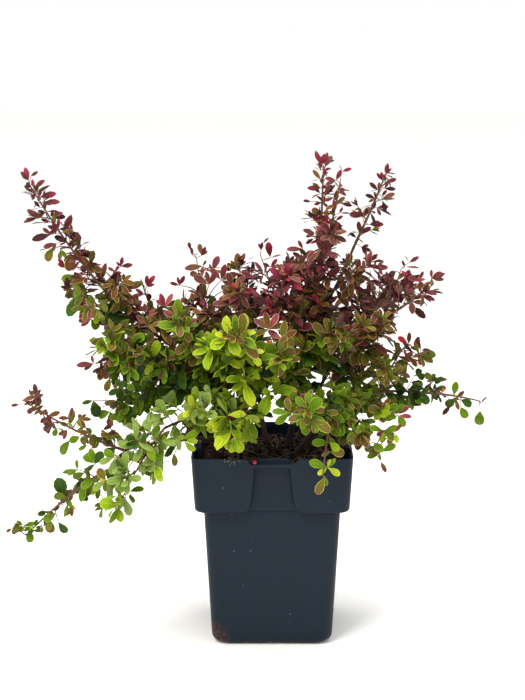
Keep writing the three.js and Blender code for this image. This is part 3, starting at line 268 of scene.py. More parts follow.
# Nodes whose leaves are set one by one, on the canes and twigs that stand alone against the sky. For each
# mass: its usual colour, and the nodes as how far along its stem, how far right and up of it, and their
# leaves: heading in degrees from the right, turning upwards, length, the shape if it isn't slim, and the
# colour if it isn't the usual one. An edge leaf is a slim one seen from its edge
LEAF_NODES = {
    "arch_tip": ("wine", (
        (1, -1, 4, (106, 15, "pointed", "crimson"), (128, 12, "pointed"), (150, 9, "edge")),
        (1, 1, 8, (34, 9)),
        (0.96, 1, 3, (39, 14), (106, 10, "pointed", "crimson"), (165, 7, "edge", "shade_wine")),
        (0.91, 1, 1, (14, 18), (75, 9, "pointed", "crimson"), (160, 11, "edge", "shade_wine")),
        (0.88, 3, 1, (2, 16), (-20, 8, "pointed", "shade_wine")),
        (0.85, -3, 0, (187, 10, "edge", "shade_wine"), (130, 9, "shade_wine")),
        (0.82, -1, -1, (207, 13, "bronze"), (165, 9, "pointed")),
        (0.79, 1, 0, (16, 13), (-6, 16, "shade_wine"), (60, 8, "pointed", "crimson")),
        (0.745, -4, 0, (179, 18, "edge", "shade_wine"), (150, 9)),
        (0.7, 1, 0, (88, 11, "crimson"), (0, 14, "shade_wine"), (205, 12)),
        (0.67, 2, 1, (-22, 23, "shade_wine"), (10, 12, "bronze")),
        (0.66, -10, 0, (194, 20, "shade_wine"), (145, 11)),
        (0.6, -10, -1, (193, 14), (240, 10, "bronze")),
        (0.56, -18, -1, (188, 14, "edge", "shade_green"), (-116, 15, "broad", "olive")),
        (0.55, -10, 0, (-100, 11, "round", "olive"), (-60, 10, "round", "green")),
        (0.53, 1, 1, (-18, 22, "shade_wine"), (35, 10, "pointed"), (-40, 15, "bronze")),
        (0.5, -5, 1, (-97, 18, "broad", "bronze"), (-130, 12, "shade_wine")),
        (0.4, 1, 1, (-14, 18, "bronze"), (45, 11, "bronze"), (15, 12, "shade_wine")),
        (0.38, -22, 1, (150, 9, "pointed", "crimson"), (122, 12, "pointed", "crimson"), (30, 7, "pointed")),
        (0.35, -15, -2, (204, 17, "round", "green"), (-110, 12, "broad", "olive")),
        (0.33, -13, -1, (-115, 15, "round", "olive"), (-75, 12, "round", "green")),
        (0.27, -28, -8, (100, 13, "pointed", "shade_wine"), (122, 10, "pointed"), (160, 9, "shade_wine")),
        (0.27, -14, -10, (-122, 29, "round", "green"), (-80, 14, "round", "green")),
        (0.2, 12, 17, (60, 8, "pointed", "crimson"), (150, 9, "pointed"), (-10, 7, "pointed")),
        (0.2, 18, 23, (78, 11, "pointed", "crimson"), (5, 13, "pointed"), (130, 7, "pointed", "crimson")),
    )),
    "arch_inner": ("wine", (
        (0.75, 2, 6, (88, 12, "crimson"), (55, 14, "crimson"), (20, 9, "pointed")),
        (0.7, -3, 2, (150, 10, "pointed"), (195, 14, "rose")),
        (0.6, -10, 2, (170, 16, "rose"), (120, 9, "pointed")),
    )),
    "left_long_twig": ("green", (
        (1, -6, 3, (168, 13, "edge", "plum"), (20, 15, "plum"), (0, 8, "wine")),
        (1, -8, -1, (188, 10, "wine")),
        (1, 2, -3, (42, 15, "plum"), (120, 7, "pointed", "bronze")),
        (0.93, 0, -3, (30, 10, "bronze"), (75, 8, "olive")),
        (0.86, -1, -4, (50, 9, "bronze"), (200, 7, "edge", "bronze"), (100, 8, "olive")),
        (0.8, 0, -1, (20, 14, "bronze"), (95, 8, "pointed", "plum")),
        (0.74, -2, -7, (105, 13, "pointed", "wine"), (190, 12, "edge")),
        (0.66, -4, -5, (-110, 9, "broad"), (-20, 9, "edge")),
        (0.6, 4, 8, (172, 12, "plum"), (78, 12, "plum"), (195, 11, "edge", "bronze")),
        (0.6, 3, -1, (80, 18, "round", "olive"), (160, 12)),
        (0.54, 8, 11, (0, 12, "bronze"), (-60, 11, "plum"), (30, 8, "bronze")),
        (0.5, 0, 0, (-5, 13, "bronze"), (25, 9, "olive")),
        (0.5, -6, -9, (-124, 23, "round")),
        (0.45, -1, -3, (205, 12, "broad"), (60, 8, "round", "olive")),
        (0.35, -3, -8, (205, 11, "round"), (100, 8, "bronze")),
        (0.3, -5, -12, (188, 13, "edge"), (-125, 13, "round")),
        (0.33, 0, 4, (-90, 13, "broad", "olive"), (-150, 9)),
        (0.24, 0, 10, (-50, 12, "broad", "olive"), (185, 10, "edge")),
    )),
    "left_trail_tip": ("deep", (
        (0, -6, 9, (150, 15, "round", "green"), (60, 15, "broad"), (108, 16, "round", "green"), (-30, 14),
         (215, 13)),
        (0.1, -3, 0, (120, 12), (200, 11, "green"), (-80, 12, "round", "pale")),
        (0.2, 0, 1, (150, 12), (-110, 10, "broad")),
        (0.38, -1, 0, (35, 24), (48, 18, "green"), (20, 14)),
        (0.48, 0, 3, (109, 21, "broad"), (-55, 13, "round", "green")),
        (0.42, 1, -8, (-82, 13, "bronze"), (-60, 11, "shade_green")),
        (0.3, 2, -8, (-15, 9, "broad")),
        (0.55, 1, -2, (215, 11, "shade_green"), (165, 9, "edge")),
        (0.62, 1, -6, (205, 14, "broad", "green"), (170, 10)),
        (0.69, -1, 2, (205, 13, "round"), (176, 13, "edge"), (120, 10, "edge", "green")),
        (0.62, 3, -14, (-62, 19, "round")),
        (0.85, 5, -1, (-95, 8, "olive"), (212, 9), (20, 8, "shade_green")),
        (0.93, 1, -1, (8, 12), (165, 9, "round", "green")),
        (0.94, -1, 0, (-90, 13, "broad", "green")),
        (0.93, -8, 4, (150, 9, "round", "green"), (15, 14, "green")),
        (1, -1, 4, (175, 14, "green"), (140, 8)),
        (1, -14, 7, (215, 8, "round", "bronze"), (32, 11, "bronze"), (-80, 9, "round")),
    )),
    "right_long_twig": ("deep", (
        (0, -12, 4, (-62, 15, "broad"), (28, 16, "round", "green"), (200, 10, "round")),
        (0, 0, 1, (-52, 15, "broad"), (-100, 12, "broad", "green"), (20, 11)),
        (0.03, 0, -8, (-100, 7, "orange")),
        (0.2, -1, -2, (-35, 9, "round"), (25, 9)),
        (0.3, 1, -3, (182, 8, "orange"), (-70, 8)),
        (0.36, -1, 1, (62, 11, "round", "orange")),
        (0.5, 3, -1, (84, 17, "round", "green"), (-80, 7, "round")),
        (0.58, 0, -3, (222, 14, "broad"), (43, 12, "plum"), (-75, 12, "bronze")),
        (0.44, 4, -11, (228, 13, "shade_wine")),
        (0.68, -1, -3, (-28, 14, "broad"), (170, 7, "round", "green")),
        (0.66, 0, -10, (-62, 14, "broad", "green")),
        (0.96, 1, -10, (-92, 17, "broad", "green")),
        (0.98, 0, -3, (48, 11, "edge", "plum")),
    )),
    "front_droop": ("green", (
        (0.2, 2, -6, (90, 12, "olive"), (185, 9, "broad", "lime"), (-55, 19, "round")),
        (0.5, 1, -4, (150, 14, "broad"), (-65, 13, "round")),
        (0.6, 3, -3, (180, 18, "round"), (-40, 12, "broad", "lime")),
        (0.72, 5, -2, (-8, 14, "broad", "olive"), (205, 10)),
        (0.9, 4, 2, (162, 19, "round"), (215, 12, "round", "yellow_green"),
         (-32, 15, "round", "yellow_green"), (52, 12), (75, 9, "lime")),
        (0.96, 2, 1, (-114, 20, "round", "olive"), (-80, 11)),
    )),
    "tall_shoot": ("wine", (
        (1, -4, 3, (108, 13, "pointed", "crimson")),
        (1, -2, 1, (72, 12, "round", "crimson"), (48, 9, "crimson"), (100, 9, "crimson")),
        (0.97, -3, -2, (92, 11), (150, 7, "edge")),
        (0.95, 0, 0, (20, 8, "pointed"), (-30, 6, "pointed", "crimson")),
        (0.84, -2, 1, (128, 13, "bronze"), (178, 10, "edge", "bronze"), (60, 8, "pointed")),
        (0.78, -2, -2, (178, 14, "pointed"), (150, 10, "bronze"), (20, 8, "pointed")),
        (0.7, -2, 0, (135, 11), (5, 10)),
        (0.62, 0, -1, (200, 9), (30, 9, "bronze"), (-40, 8)),
        (0.6, -11, 1, (170, 9, "shade_wine")),
        (0.5, -1, -2, (150, 11, "broad", "bronze"), (190, 12, "bronze"),
         (20, 9, "round", "bronze")),
        (0.42, -11, -2, (195, 8, "edge", "shade_wine")),
        (0.36, 0, -1, (125, 14, "round", "crimson"), (58, 13, "round", "crimson"),
         (92, 12, "round", "crimson"), (20, 12)),
        (0.3, -6, -3, (165, 14, "pointed"), (200, 10)),
        (0.3, 7, 0, (12, 13, "pointed"), (-15, 13, "shade_wine")),
        (0.2, -7, 1, (185, 9, "edge", "shade_wine"), (215, 10)),
    )),
    "tall_twin": ("wine", (
        (1, -4, 2, (64, 12, "crimson"), (168, 12), (200, 11)),
        (1, 2, 11, (18, 10, "crimson"), (110, 7, "edge", "crimson")),
        (0.96, -2, -2, (-8, 10), (40, 8, "edge"), (-95, 14, "bronze")),
        (0.88, -4, -1, (-80, 12), (200, 9), (20, 7, "edge")),
        (0.84, 7, 1, (-15, 8, "edge", "shade_wine")),
        (0.8, 5, 2, (-10, 12, "shade_wine")),
        (0.7, 6, 3, (2, 11, "edge", "shade_wine"), (60, 7, "pointed")),
        (0.66, 3, 0, (35, 9), (-50, 10, "shade_wine")),
        (0.72, -2, 0, (70, 9, "pointed"), (170, 9, "bronze")),
        (0.55, 2, 0, (15, 12), (150, 10, "bronze")),
    )),
    "tall_right_tip": ("wine", (
        (1, 1, 2, (86, 11, "pointed", "crimson"), (45, 7, "pointed"), (-3, 9, "edge", "shade_wine")),
        (0.96, -2, -3, (125, 10), (95, 9, "crimson")),
        (0.9, 3, 0, (14, 12), (100, 9)),
        (0.84, 4, -2, (-3, 12, "shade_wine"), (60, 8, "pointed")),
        (0.82, -2, -2, (136, 12, "shade_wine"), (80, 9)),
        (0.74, 4, -2, (55, 9), (-10, 14, "edge", "shade_wine"), (-35, 8, "edge", "shade_wine")),
        (0.7, -1, -1, (160, 11, "shade_wine"), (95, 7, "pointed", "shade_wine"), (205, 8, "bronze")),
        (0.55, 5, 0, (6, 13), (-22, 17, "edge", "shade_wine"), (-62, 9)),
        (0.42, -2, 1, (174, 17, "round"), (85, 8, "shade_wine")),
        (0.3, 5, 0, (20, 11), (2, 15), (150, 8, "edge", "shade_wine")),
        (0.15, 0, 1, (96, 13), (26, 14), (160, 10, "edge", "shade_wine")),
        (0.1, -2, 0, (140, 9, "shade_wine"), (-30, 9, "edge", "shade_wine")),
        (0, 6, -3, (-20, 11, "shade_wine"), (-52, 10, "shade_wine"), (12, 9)),
    )),
    "upper_left": ("plum", (
        (0.62, -10, 0, (150, 16, "wine"), (200, 15), (98, 14), (30, 14, "wine")),
        (0.62, 14, -2, (20, 17), (62, 15, "wine"), (-22, 15), (112, 13, "bronze")),
        (0.46, -16, 2, (160, 16, "wine"), (112, 15, "rose"), (205, 14)),
        (0.46, 16, 5, (35, 16, "wine"), (0, 15), (85, 14, "rose"), (140, 14)),
        (0.62, 6, 22, (150, 18, "round"), (60, 16, "wine"), (100, 14)),
        (0.62, 18, 26, (20, 18, "round"), (75, 17, "wine"), (130, 16, "round"), (-30, 15)),
        (0.62, 30, 20, (40, 17, "wine"), (110, 16, "round"), (-10, 16, "round", "bronze")),
        (1, -6, 8, (100, 9, "round", "wine")),
        (1, -4, 2, (97, 9, "wine"), (20, 7, "edge")),
        (1, 5, 2, (102, 13, "round"), (66, 11, "wine"), (40, 8)),
        (0.9, 14, 0, (68, 17, "round", "wine"), (110, 8), (0, 10)),
        (0.9, 22, 3, (14, 11, "edge"), (-8, 12)),
        (0.92, 5, 2, (186, 19), (-32, 12, "edge"), (60, 7, "pointed", "wine")),
        (0.85, 0, 2, (170, 10, "broad", "bronze"), (-60, 11, "bronze")),
        (0.72, -22, 9, (62, 12, "wine"), (102, 9, "pointed", "crimson"), (165, 10, "wine")),
    )),
    "upper_mid": ("wine", (
        (1, 3, 11, (45, 8, "pointed"), (230, 7, "pointed")),
        (1, 1, 4, (82, 9, "pointed"), (110, 8, "pointed", "crimson")),
        (0.95, 8, 2, (97, 17, "round", "crimson"), (200, 8, "edge", "plum"), (20, 12, "edge", "plum")),
        (0.9, 6, 0, (50, 11, "crimson"), (150, 9), (10, 10)),
    )),
    "upper_mid_rear": ("wine", (
        (0.9, 18, 3, (150, 16)),
        (0.85, -6, -3, (23, 16, "edge", "plum"), (170, 10)),
    )),
    "crown_left": ("wine", (
        (0.8, 2, 3, (177, 17), (118, 10, "crimson")),
        (0.72, 2, 0, (143, 14), (190, 10, "plum")),
    )),
    "right_tip": ("wine", (
        (1, -3, 6, (20, 15, "pointed"), (38, 13), (-4, 13, "plum"), (88, 9, "crimson"),
         (-85, 8, "bronze")),
        (0.8, 4, -1, (-5, 14, "edge", "shade_wine"), (15, 11, "edge", "plum")),
        (0.72, 1, -5, (3, 9, "round", "shade_wine"), (-30, 12, "edge", "shade_wine")),
        (0.5, -2, -3, (-1, 14, "bronze")),
        (0.45, 0, -6, (-40, 20, "shade_wine")),
        (0.7, -3, 14, (165, 13, "round"), (60, 10), (-60, 12)),
    )),
    "right_tip_rear": ("wine", (
        (1, 8, 7, (33, 12, "pointed"), (120, 9, "edge", "plum")),
        (1, 4, 2, (115, 8), (0, 15, "edge", "plum")),
    )),
    "right_rear": ("bronze", (
        (1, 2, 0, (143, 16, "round", "rose"), (86, 13)),
        (1, 7, -4, (65, 14, "plum"), (35, 9, "crimson")),
        (1, 12, -7, (92, 15), (150, 9, "wine")),
        (0.8, 8, -5, (-120, 19, "round", "plum"), (-48, 14, "round", "lime")),
        (0.9, 15, -9, (-66, 14, "round", "crimson")),
    )),
    "right_low": ("green", (
        (0.9, 8, 22, (8, 17, "round"), (-42, 17, "round"), (-92, 16, "round", "lime"), (160, 15, "round")),
        (0.9, 6, -1, (196, 15, "round"), (170, 10, "bronze"), (26, 17, "round")),
        (1, 0, -1, (-62, 13, "bronze"), (100, 9)),
        (0.9, 19, 19, (190, 20, "plum"), (160, 18, "edge", "wine"),
         (-70, 14, "round", "yellow_green"), (-116, 14, "round", "olive"), (55, 12, "bronze")),
    )),
    "right_inner": ("green", (
        (1, 6, -6, (8, 18, "round"), (-32, 17, "round"), (-85, 15, "round", "olive"), (60, 14, "bronze")),
        (1, 22, -12, (-4, 14, "rose"), (200, 16, "round"), (-60, 13, "broad")),
        (0.95, 18, -12, (17, 20, "rose"), (32, 16), (200, 14, "round")),
        (0.95, 12, -2, (30, 12, "round", "plum"), (190, 14, "bronze")),
    )),
    "left_rear": ("plum", (
        (1, -2, -1, (183, 18, "wine"), (212, 12, "bronze"), (105, 9, "pointed")),
        (1, 5, -8, (-92, 11, "broad", "olive"), (80, 9)),
        (0.7, -1, -4, (195, 10, "broad", "green"), (-110, 8, "round")),
        (0.85, 3, -14, (-110, 17, "round", "olive"), (-30, 10, "round", "deep")),
        (0.75, 5, -16, (-132, 13, "round", "olive"), (-85, 15, "round", "green")),
    )),
    "left_under": ("deep", (
        (0.7, 0, 6, (170, 14, "broad"), (100, 12, "round", "green")),
        (0.75, 0, -4, (-110, 12, "broad", "green"), (-60, 9)),
        (0.82, 0, 9, (190, 15, "round"), (-110, 12, "round"), (150, 11, "broad", "green")),
        (0.88, 5, 0, (-100, 14, "round", "green")),
        (0.9, -8, 15, (205, 15, "round"), (-100, 15, "broad"), (120, 10, "broad")),
        (1, 6, -1, (-112, 17, "round", "green"), (160, 10)),
        (1, -2, 3, (186, 17, "olive"), (205, 12, "broad")),
        (1, -12, -6, (-88, 15, "round", "green"), (205, 15, "broad", "green"), (-60, 10)),
        (1, -20, -1, (-100, 17, "broad"), (185, 12, "edge"), (210, 13, "round", "shade_green")),
        (1, -29, 5, (-74, 18, "broad"), (190, 12)),
    )),
    "pale_inner": ("olive", (
        (0.9, -1, 1, (-85, 15, "round")),
    )),
    "pale_spray": ("pale", (
        (0.75, -22, 5, (182, 17, "round"), (216, 16, "round"), (130, 14, "broad", "olive"),
         (-60, 14, "round")),
        (0.02, 0, -4, (-86, 15, "round", "lime"), (-120, 10, "round", "green")),
        (0.2, -4, 2, (-125, 12, "round", "yellow")),
        (0.4, -12, 7, (98, 16, "broad"), (150, 17, "round"), (62, 14, "broad")),
        (0.5, -25, 6, (200, 16, "round"), (-100, 17, "round"), (-60, 13, "round"),
         (150, 12, "broad", "green")),
    )),
    "arch_outer": ("green", (
        (0.78, 1, 11, (-121, 27, "round", "deep"), (200, 9, "broad")),
        (0.7, 5, 2, (-125, 20, "round"), (165, 10, "rose")),
        (0.6, 0, -7, (195, 15, "round", "rose"), (216, 15, "rose"), (170, 13, "rose")),
        (0.6, -2, -14, (188, 14, "round", "rose"), (214, 13, "rose"), (-60, 14, "broad")),
        (0.5, 0, -4, (-112, 14, "round", "lime"), (-70, 12, "round", "lime"), (185, 14, "broad", "bronze")),
        (0.45, 4, 4, (-46, 27), (-75, 16, "broad")),
        (0.3, 2, -8, (-140, 16, "round"), (-60, 15, "round"), (-100, 14, "broad", "lime")),
        (0.2, 4, -16, (190, 18, "round"), (-110, 17, "round"), (-30, 18, "broad", "olive")),
        (0.1, 6, -10, (-60, 18, "bronze"), (200, 16, "broad"), (20, 14, "plum")),
        (0, 2, -8, (-20, 16, "broad", "olive"), (-75, 16, "round"), (200, 14, "bronze")),
        (0, 10, -12, (-100, 16, "round"), (10, 15, "bronze"), (60, 15, "plum")),
        (0, 1, 7, (15, 15, "rose"), (60, 13, "crimson"), (160, 14, "bronze")),
        (0, 12, 4, (-30, 15, "bronze"), (100, 12, "plum"), (20, 13, "rose")),
    )),
    "front_mid": ("bronze", (
        (1, -7, 22, (104, 18), (62, 18, "rose"), (145, 18, "plum"), (18, 16), (200, 15, "olive")),
        (1, 5, 12, (80, 19, "olive"), (35, 18), (150, 17, "rose"), (-20, 16, "broad", "olive")),
        (1, -6, 6, (120, 18, "broad", "olive"), (190, 18, "broad", "green"), (-70, 18, "broad", "lime")),
        (1, 2, -2, (-110, 19, "round", "green"), (-45, 18, "round", "green"), (10, 17, "broad", "olive")),
    )),
    "front_right": ("green", (
        (1, -17, -2, (172, 18, "round"), (212, 18, "round"), (105, 15, "round", "olive"), (-75, 15, "round")),
        (1, 0, 2, (88, 17, "round"), (42, 18, "broad"), (138, 17, "round"), (-5, 17, "round", "olive")),
        (1, 1, -4, (-62, 18, "round", "lime"), (-118, 17, "round"), (-25, 18, "round")),
    )),
    "left_front": ("bronze", (
        (1, -12, 11, (60, 15, "rose"), (110, 14, "crimson"), (20, 14), (150, 12, "wine")),
        (1, 0, 0, (95, 17, "olive"), (40, 16), (150, 16, "rose"), (-20, 15, "broad", "green")),
    )),
    "left_fore": ("green", (
        (1, 2, 9, (214, 13, "bronze"), (-30, 15, "round", "lime"), (-100, 16, "broad", "lime")),
        (1, 3, 1, (240, 14, "lime"), (160, 8, "broad")),
        (0.9, 5, 1, (205, 15, "round"), (-60, 14, "broad"), (100, 15, "round")),
        (0.75, 0, 14, (-60, 20), (200, 17, "round"), (20, 15, "broad")),
        (0.75, -3, -1, (-115, 16, "round", "lime"), (-80, 19, "broad", "olive")),
        (0.6, 3, 0, (-110, 17, "round", "yellow_green"), (-60, 14, "round")),
    )),
    "front_low": ("lime", (
        (0.9, 4, 2, (-120, 17, "round"), (-93, 20, "round"), (-64, 22, "round")),
        (0.82, 0, 2, (200, 20, "round"), (165, 17, "round", "green"), (-25, 20, "round")),
        (0.7, 0, 4, (180, 19, "round"), (-150, 20, "round", "green"), (10, 18, "round")),
    )),
}
DEPTH_STRAYS = 3.0
POINTING_STRAYS = (-0.45, 0.45)
SET_FACING_STRAYS = 0.2
ON_THE_STEM = 2
STOUT_REACH = 12
NODE_BOWS = 0.08
# Masses whose leaves hang with their faces outwards
HANGING = (
    "left_under", "left_rear", "left_long_twig", "left_trail_tip", "pale_inner", "front_low", "front_droop",
    "right_low", "right_long_twig", "right_inner", "arch_outer",
)
SLIM_BOUGHS = ("bough_tall", "bough_tall_right", "bough_right")
HEART = np.array([0.0, 0.0, 250.0])
SLACK = 7.0
CROWD = 3.0
# In front of the collar leaves hang no lower than this, and beside it on the left no lower than the next,
# but for the drooping masses
FRINGE = 186
LEFT_FRINGE = 210
FRINGE_SPAN = (-POT_WIDTH / 2 - 26, POT_WIDTH / 2 + 6)
FRINGE_FRONT = -60
DROOPING = ("front_droop", "pale_inner")

# Leaf shapes: where the leaf is widest, how the blade swells to there, how round its tip is, its width
# by its length, and the stations at which its outline is laid out
STATIONS = (0.16, 0.42, 0.68, 0.9)
SHAPES = {
    "round": {"belly": 0.64, "swell": 1.8, "tip": 1.85, "width": 0.46, "stations": STATIONS},
    "slim": {"belly": 0.58, "swell": 1.4, "tip": 1.7, "width": 0.4, "stations": STATIONS},
    "broad": {"belly": 0.58, "swell": 1.2, "tip": 2.1, "width": 0.66, "stations": STATIONS},
    "pointed": {"belly": 0.55, "swell": 1.2, "tip": 1.5, "width": 0.4, "stations": (0.2, 0.52, 0.82)},
}
PETIOLE = 0.07
MARGIN_WIDTH = 0.13
BLADE_THICKNESS = 0.012

# Camera fitted to the pot in the picture
CAMERA_PLACE = (-0.0096, -1.904, 0.7002)
CAMERA_PITCH = math.radians(12.1)
CAMERA_LENS = 99.26

chance = np.random.default_rng(7)


# Vectors


def unit(v):
    """Rows scaled to length 1."""
    return v / np.maximum(np.linalg.norm(v, axis=-1, keepdims=True), 1e-12)


def lerp(low, high, share):
    return low + (high - low) * share


# Meshes


DOUBLED = 1e-6
SHARP_OVER = math.radians(35)


def mesh_of(name, points, faces, finishes=None, smooth=True):
    """A mesh from points in millimetres and a list of face arrays, each with 3 or 4 corners a row.
    finishes: for each face array, one material number or a number for each row."""
    mesh = bpy.data.meshes.new(name)
    mesh.vertices.add(len(points))
    mesh.vertices.foreach_set("co", (np.asarray(points) * MM).astype(np.float32).ravel())
    corners = np.concatenate([rows.ravel() for rows in faces])
    sizes = np.concatenate([np.full(len(rows), rows.shape[1]) for rows in faces])
    mesh.loops.add(len(corners))
    mesh.loops.foreach_set("vertex_index", corners.astype(np.int32))
    mesh.polygons.add(len(sizes))
    mesh.polygons.foreach_set("loop_start", (np.cumsum(sizes) - sizes).astype(np.int32))
    if finishes is not None:
        numbers = np.concatenate([np.broadcast_to(f, len(rows)) for f, rows in zip(finishes, faces)])
        mesh.polygons.foreach_set("material_index", numbers.astype(np.int32))
    mesh.polygons.foreach_set("use_smooth", np.full(len(sizes), smooth))
    mesh.update(calc_edges=True)
    return mesh


def put_in_scene(name, data):
    """A new object with this mesh, lamp or lens."""
    thing = bpy.data.objects.new(name, data)
    bpy.context.scene.collection.objects.link(thing)
    return thing


def add_piece(name, mesh, slot, materials, nodes=()):
    """Puts a finished mesh in the scene as a piece that rides on the part and stands for its nodes."""
    piece = put_in_scene(name, mesh)
    for material in materials:
        mesh.materials.append(material)
    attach(piece, "root")
    if nodes:
        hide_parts(*nodes)
    return piece


def add_parts(name, parts, slot, materials, nodes=(), smooth=True):
    """The same from points, faces and finishes."""
    return add_piece(name, mesh_of(name, *parts, smooth), slot, materials, nodes)


def merged(mesh):
    """The mesh with doubled points joined, sharp over an angle and smooth elsewhere."""
    edit = bmesh.new()
    edit.from_mesh(mesh)
    bmesh.ops.remove_doubles(edit, verts=edit.verts, dist=DOUBLED)
    bmesh.ops.dissolve_degenerate(edit, edges=edit.edges, dist=DOUBLED)
    edit.to_mesh(mesh)
    edit.free()
    mesh.set_sharp_from_angle(angle=SHARP_OVER)
    return mesh


def joined(parts):
    """Several (points, faces, finishes) as one, with the later parts' faces renumbered."""
    points, faces, finishes, count = [], [], [], 0
    for part_points, part_faces, part_finishes in parts:
        points.append(part_points)
        faces += [rows + count for rows in part_faces]
        finishes += part_finishes
        count += len(part_points)
    return np.concatenate(points), faces, finishes


def ring_faces(rings, sides):
    """Faces of a skin over rings of points, closed by a fan to a point at each end. The points of all
    rings come first, then the two end points."""
    here = np.arange(sides)
    after = (here + 1) % sides
    low = np.arange(rings - 1)[:, None] * sides
    quads = np.stack([low + here, low + after, low + sides + after, low + sides + here], axis=-1)
    last = (rings - 1) * sides
    first_fan = np.stack([after, here, np.full(sides, rings * sides)], axis=1)
    last_fan = np.stack([last + here, last + after, np.full(sides, rings * sides + 1)], axis=1)
    return [quads.reshape(-1, 4), first_fan, last_fan]


def copies(faces, count, points_each):
    """The faces of one shape, repeated for copies whose points follow one another."""
    shift = (np.arange(count) * points_each)[:, None, None]
    return [(rows + shift).reshape(-1, rows.shape[1]) for rows in faces]


def tubes(paths, radii, sides, finish=0):
    """Round tubes along many paths at once. paths: tube, step, xyz. radii: tube, step, and a last axis
    of 1 or of sides. Ring point: path + radius * (cos turn * normal + sin turn * binormal), with the
    normal carried along the path without twist. Both ends close in a point on the path."""
    count, steps, _ = paths.shape
    tangents = unit(np.gradient(paths, axis=1))
    reference = np.where(np.abs(tangents[:, 0, 2:]) > STEEP_SHARE, BACK, UP)
    normals = [unit(np.cross(tangents[:, 0], reference))]
    for step in range(1, steps):
        along = tangents[:, step]
        carried = normals[-1] - along * np.sum(normals[-1] * along, axis=1, keepdims=True)
        normals.append(unit(carried))
    normals = np.stack(normals, axis=1)
    binormals = np.cross(tangents, normals)
    turns = np.arange(sides) * 2 * math.pi / sides
    rings = (
        paths[:, :, None]
        + radii[..., None] * np.cos(turns)[:, None] * normals[:, :, None]
        + radii[..., None] * np.sin(turns)[:, None] * binormals[:, :, None]
    )
    ends = [paths[:, :1], paths[:, -1:]]
    points = np.concatenate([rings.reshape(count, steps * sides, 3), *ends], axis=1)
    faces = copies(ring_faces(steps, sides), count, steps * sides + 2)
    return points.reshape(-1, 3), faces, [finish] * 3


# The pot, as rings round a square


def pocket_edge(z):
    """Half the label pocket's width: straight at the top, flared to the collar's foot, then drawing in
    to the drain channel's width at the pot's foot."""
    knee = COLLAR_FOOT + KNEE
    heights = [0, COLLAR_FOOT - 12, COLLAR_FOOT + POCKET_SILL, COLLAR_FOOT + 4, knee, knee + 14, 190]
    halves = [
        CHANNEL_HALF_WIDTH, POCKET_FLARE, POCKET_FLARE + 3.5, POCKET_FLARE + 1, POCKET_FLARE - 1,
        POCKET_HALF_WIDTH + 2, POCKET_HALF_WIDTH,
    ]
    return np.interp(z, heights, halves)


# Columns of one side: how far from the corner to the pocket's edge, across the pocket, and round
FLANK = np.array([0, 0.3, 0.55, 0.75, 0.8, 0.84, 0.88, 0.92, 0.96, 0.985, 1])
ACROSS = np.linspace(-1, 1, 11)
CORNER_ARC = np.linspace(0, 1, 9)[1:-1]
POCKET_COLUMNS = len(ACROSS) + 4


def side_columns(half, corner, edge, recess, slot):
    """One side of a ring: x along the side and how far out each column stands. The flanks lie at half
    and the pocket at recess, with a slot down each side of the panel; the corner is a quarter circle."""
    flank = lerp(-(half - corner), -edge, FLANK)
    panel = edge - SLOT_WIDTH
    arc = CORNER_ARC * math.pi / 2
    x = np.concatenate([
        flank, [-edge, -panel], ACROSS * panel, [panel, edge], -flank[::-1],
        half - corner + corner * np.sin(arc),
    ])
    out = np.concatenate([
        np.full(len(FLANK), half), [recess - slot] * 2, np.full(len(ACROSS), recess), [recess - slot] * 2,
        np.full(len(FLANK), half), half - corner + corner * np.cos(arc),
    ])
    return x, out


def turned(quarter, x, out, z):
    """Points of one side of the pot, turned to its front, right, back or left."""
    turn = quarter * math.pi / 2
    return np.stack([
        x * math.cos(turn) + out * math.sin(turn), x * math.sin(turn) - out * math.cos(turn), z,
    ], axis=1)


def square_ring(half, corner, z_of, edge, recess, slot=0.0):
    """A ring of the pot. z_of: height by x along the side and by how far out."""
    x, out = side_columns(half, corner, edge, recess, slot)
    z = z_of(x, out)
    return np.concatenate([turned(quarter, x, out, z) for quarter in range(4)])


def plain_ring(half, z_of, edge):
    """A flat ring of the underside or the floor."""
    return square_ring(half, half / 4, z_of, edge, half)


def level(z):
    return lambda x, out: np.full(len(x), float(z))


def body_half(z):
    return lerp(BODY_FOOT_WIDTH, BODY_TOP_WIDTH, z / COLLAR_FOOT) / 2


def collar_half(z):
    return lerp(COLLAR_FOOT_WIDTH, POT_WIDTH, (z - COLLAR_FOOT) / (POT_HEIGHT - COLLAR_FOOT)) / 2


def corner_at(z, inset=0):
    return lerp(FOOT_CORNER, RIM_CORNER, z / POT_HEIGHT) - inset / 2


def over_channels(z):
    """Height of a ring near the foot: never lower than the arches of the drain channels."""

    def height(x, out):
        arch = CHANNEL_DEPTH * (1 - (x / CHANNEL_HALF_WIDTH) ** 2)
        return np.maximum(z, np.where(np.abs(x) < CHANNEL_HALF_WIDTH, arch, 0))

    return height


def rim_height(x):
    """Top of the wall: level, dipping in a soft-sided notch over each pocket. The panel behind the
    pocket stands nearly to the rim, with rounded corners."""
    away = np.clip((np.abs(x) - POCKET_HALF_WIDTH - 1) / (NOTCH_HALF_WIDTH - POCKET_HALF_WIDTH - 1), 0, 1)
    dip = NOTCH_DEPTH * (1 - away * away * (3 - 2 * away))
    corner = 2.5 * np.clip(np.abs(x) / POCKET_HALF_WIDTH, 0, 1) ** 14
    return POT_HEIGHT - np.where(IN_POCKET, PANEL_BELOW_RIM + corner, dip)


IN_POCKET = np.concatenate([
    np.zeros(len(FLANK), bool), np.ones(POCKET_COLUMNS, bool), np.zeros(len(FLANK) + len(CORNER_ARC), bool),
])


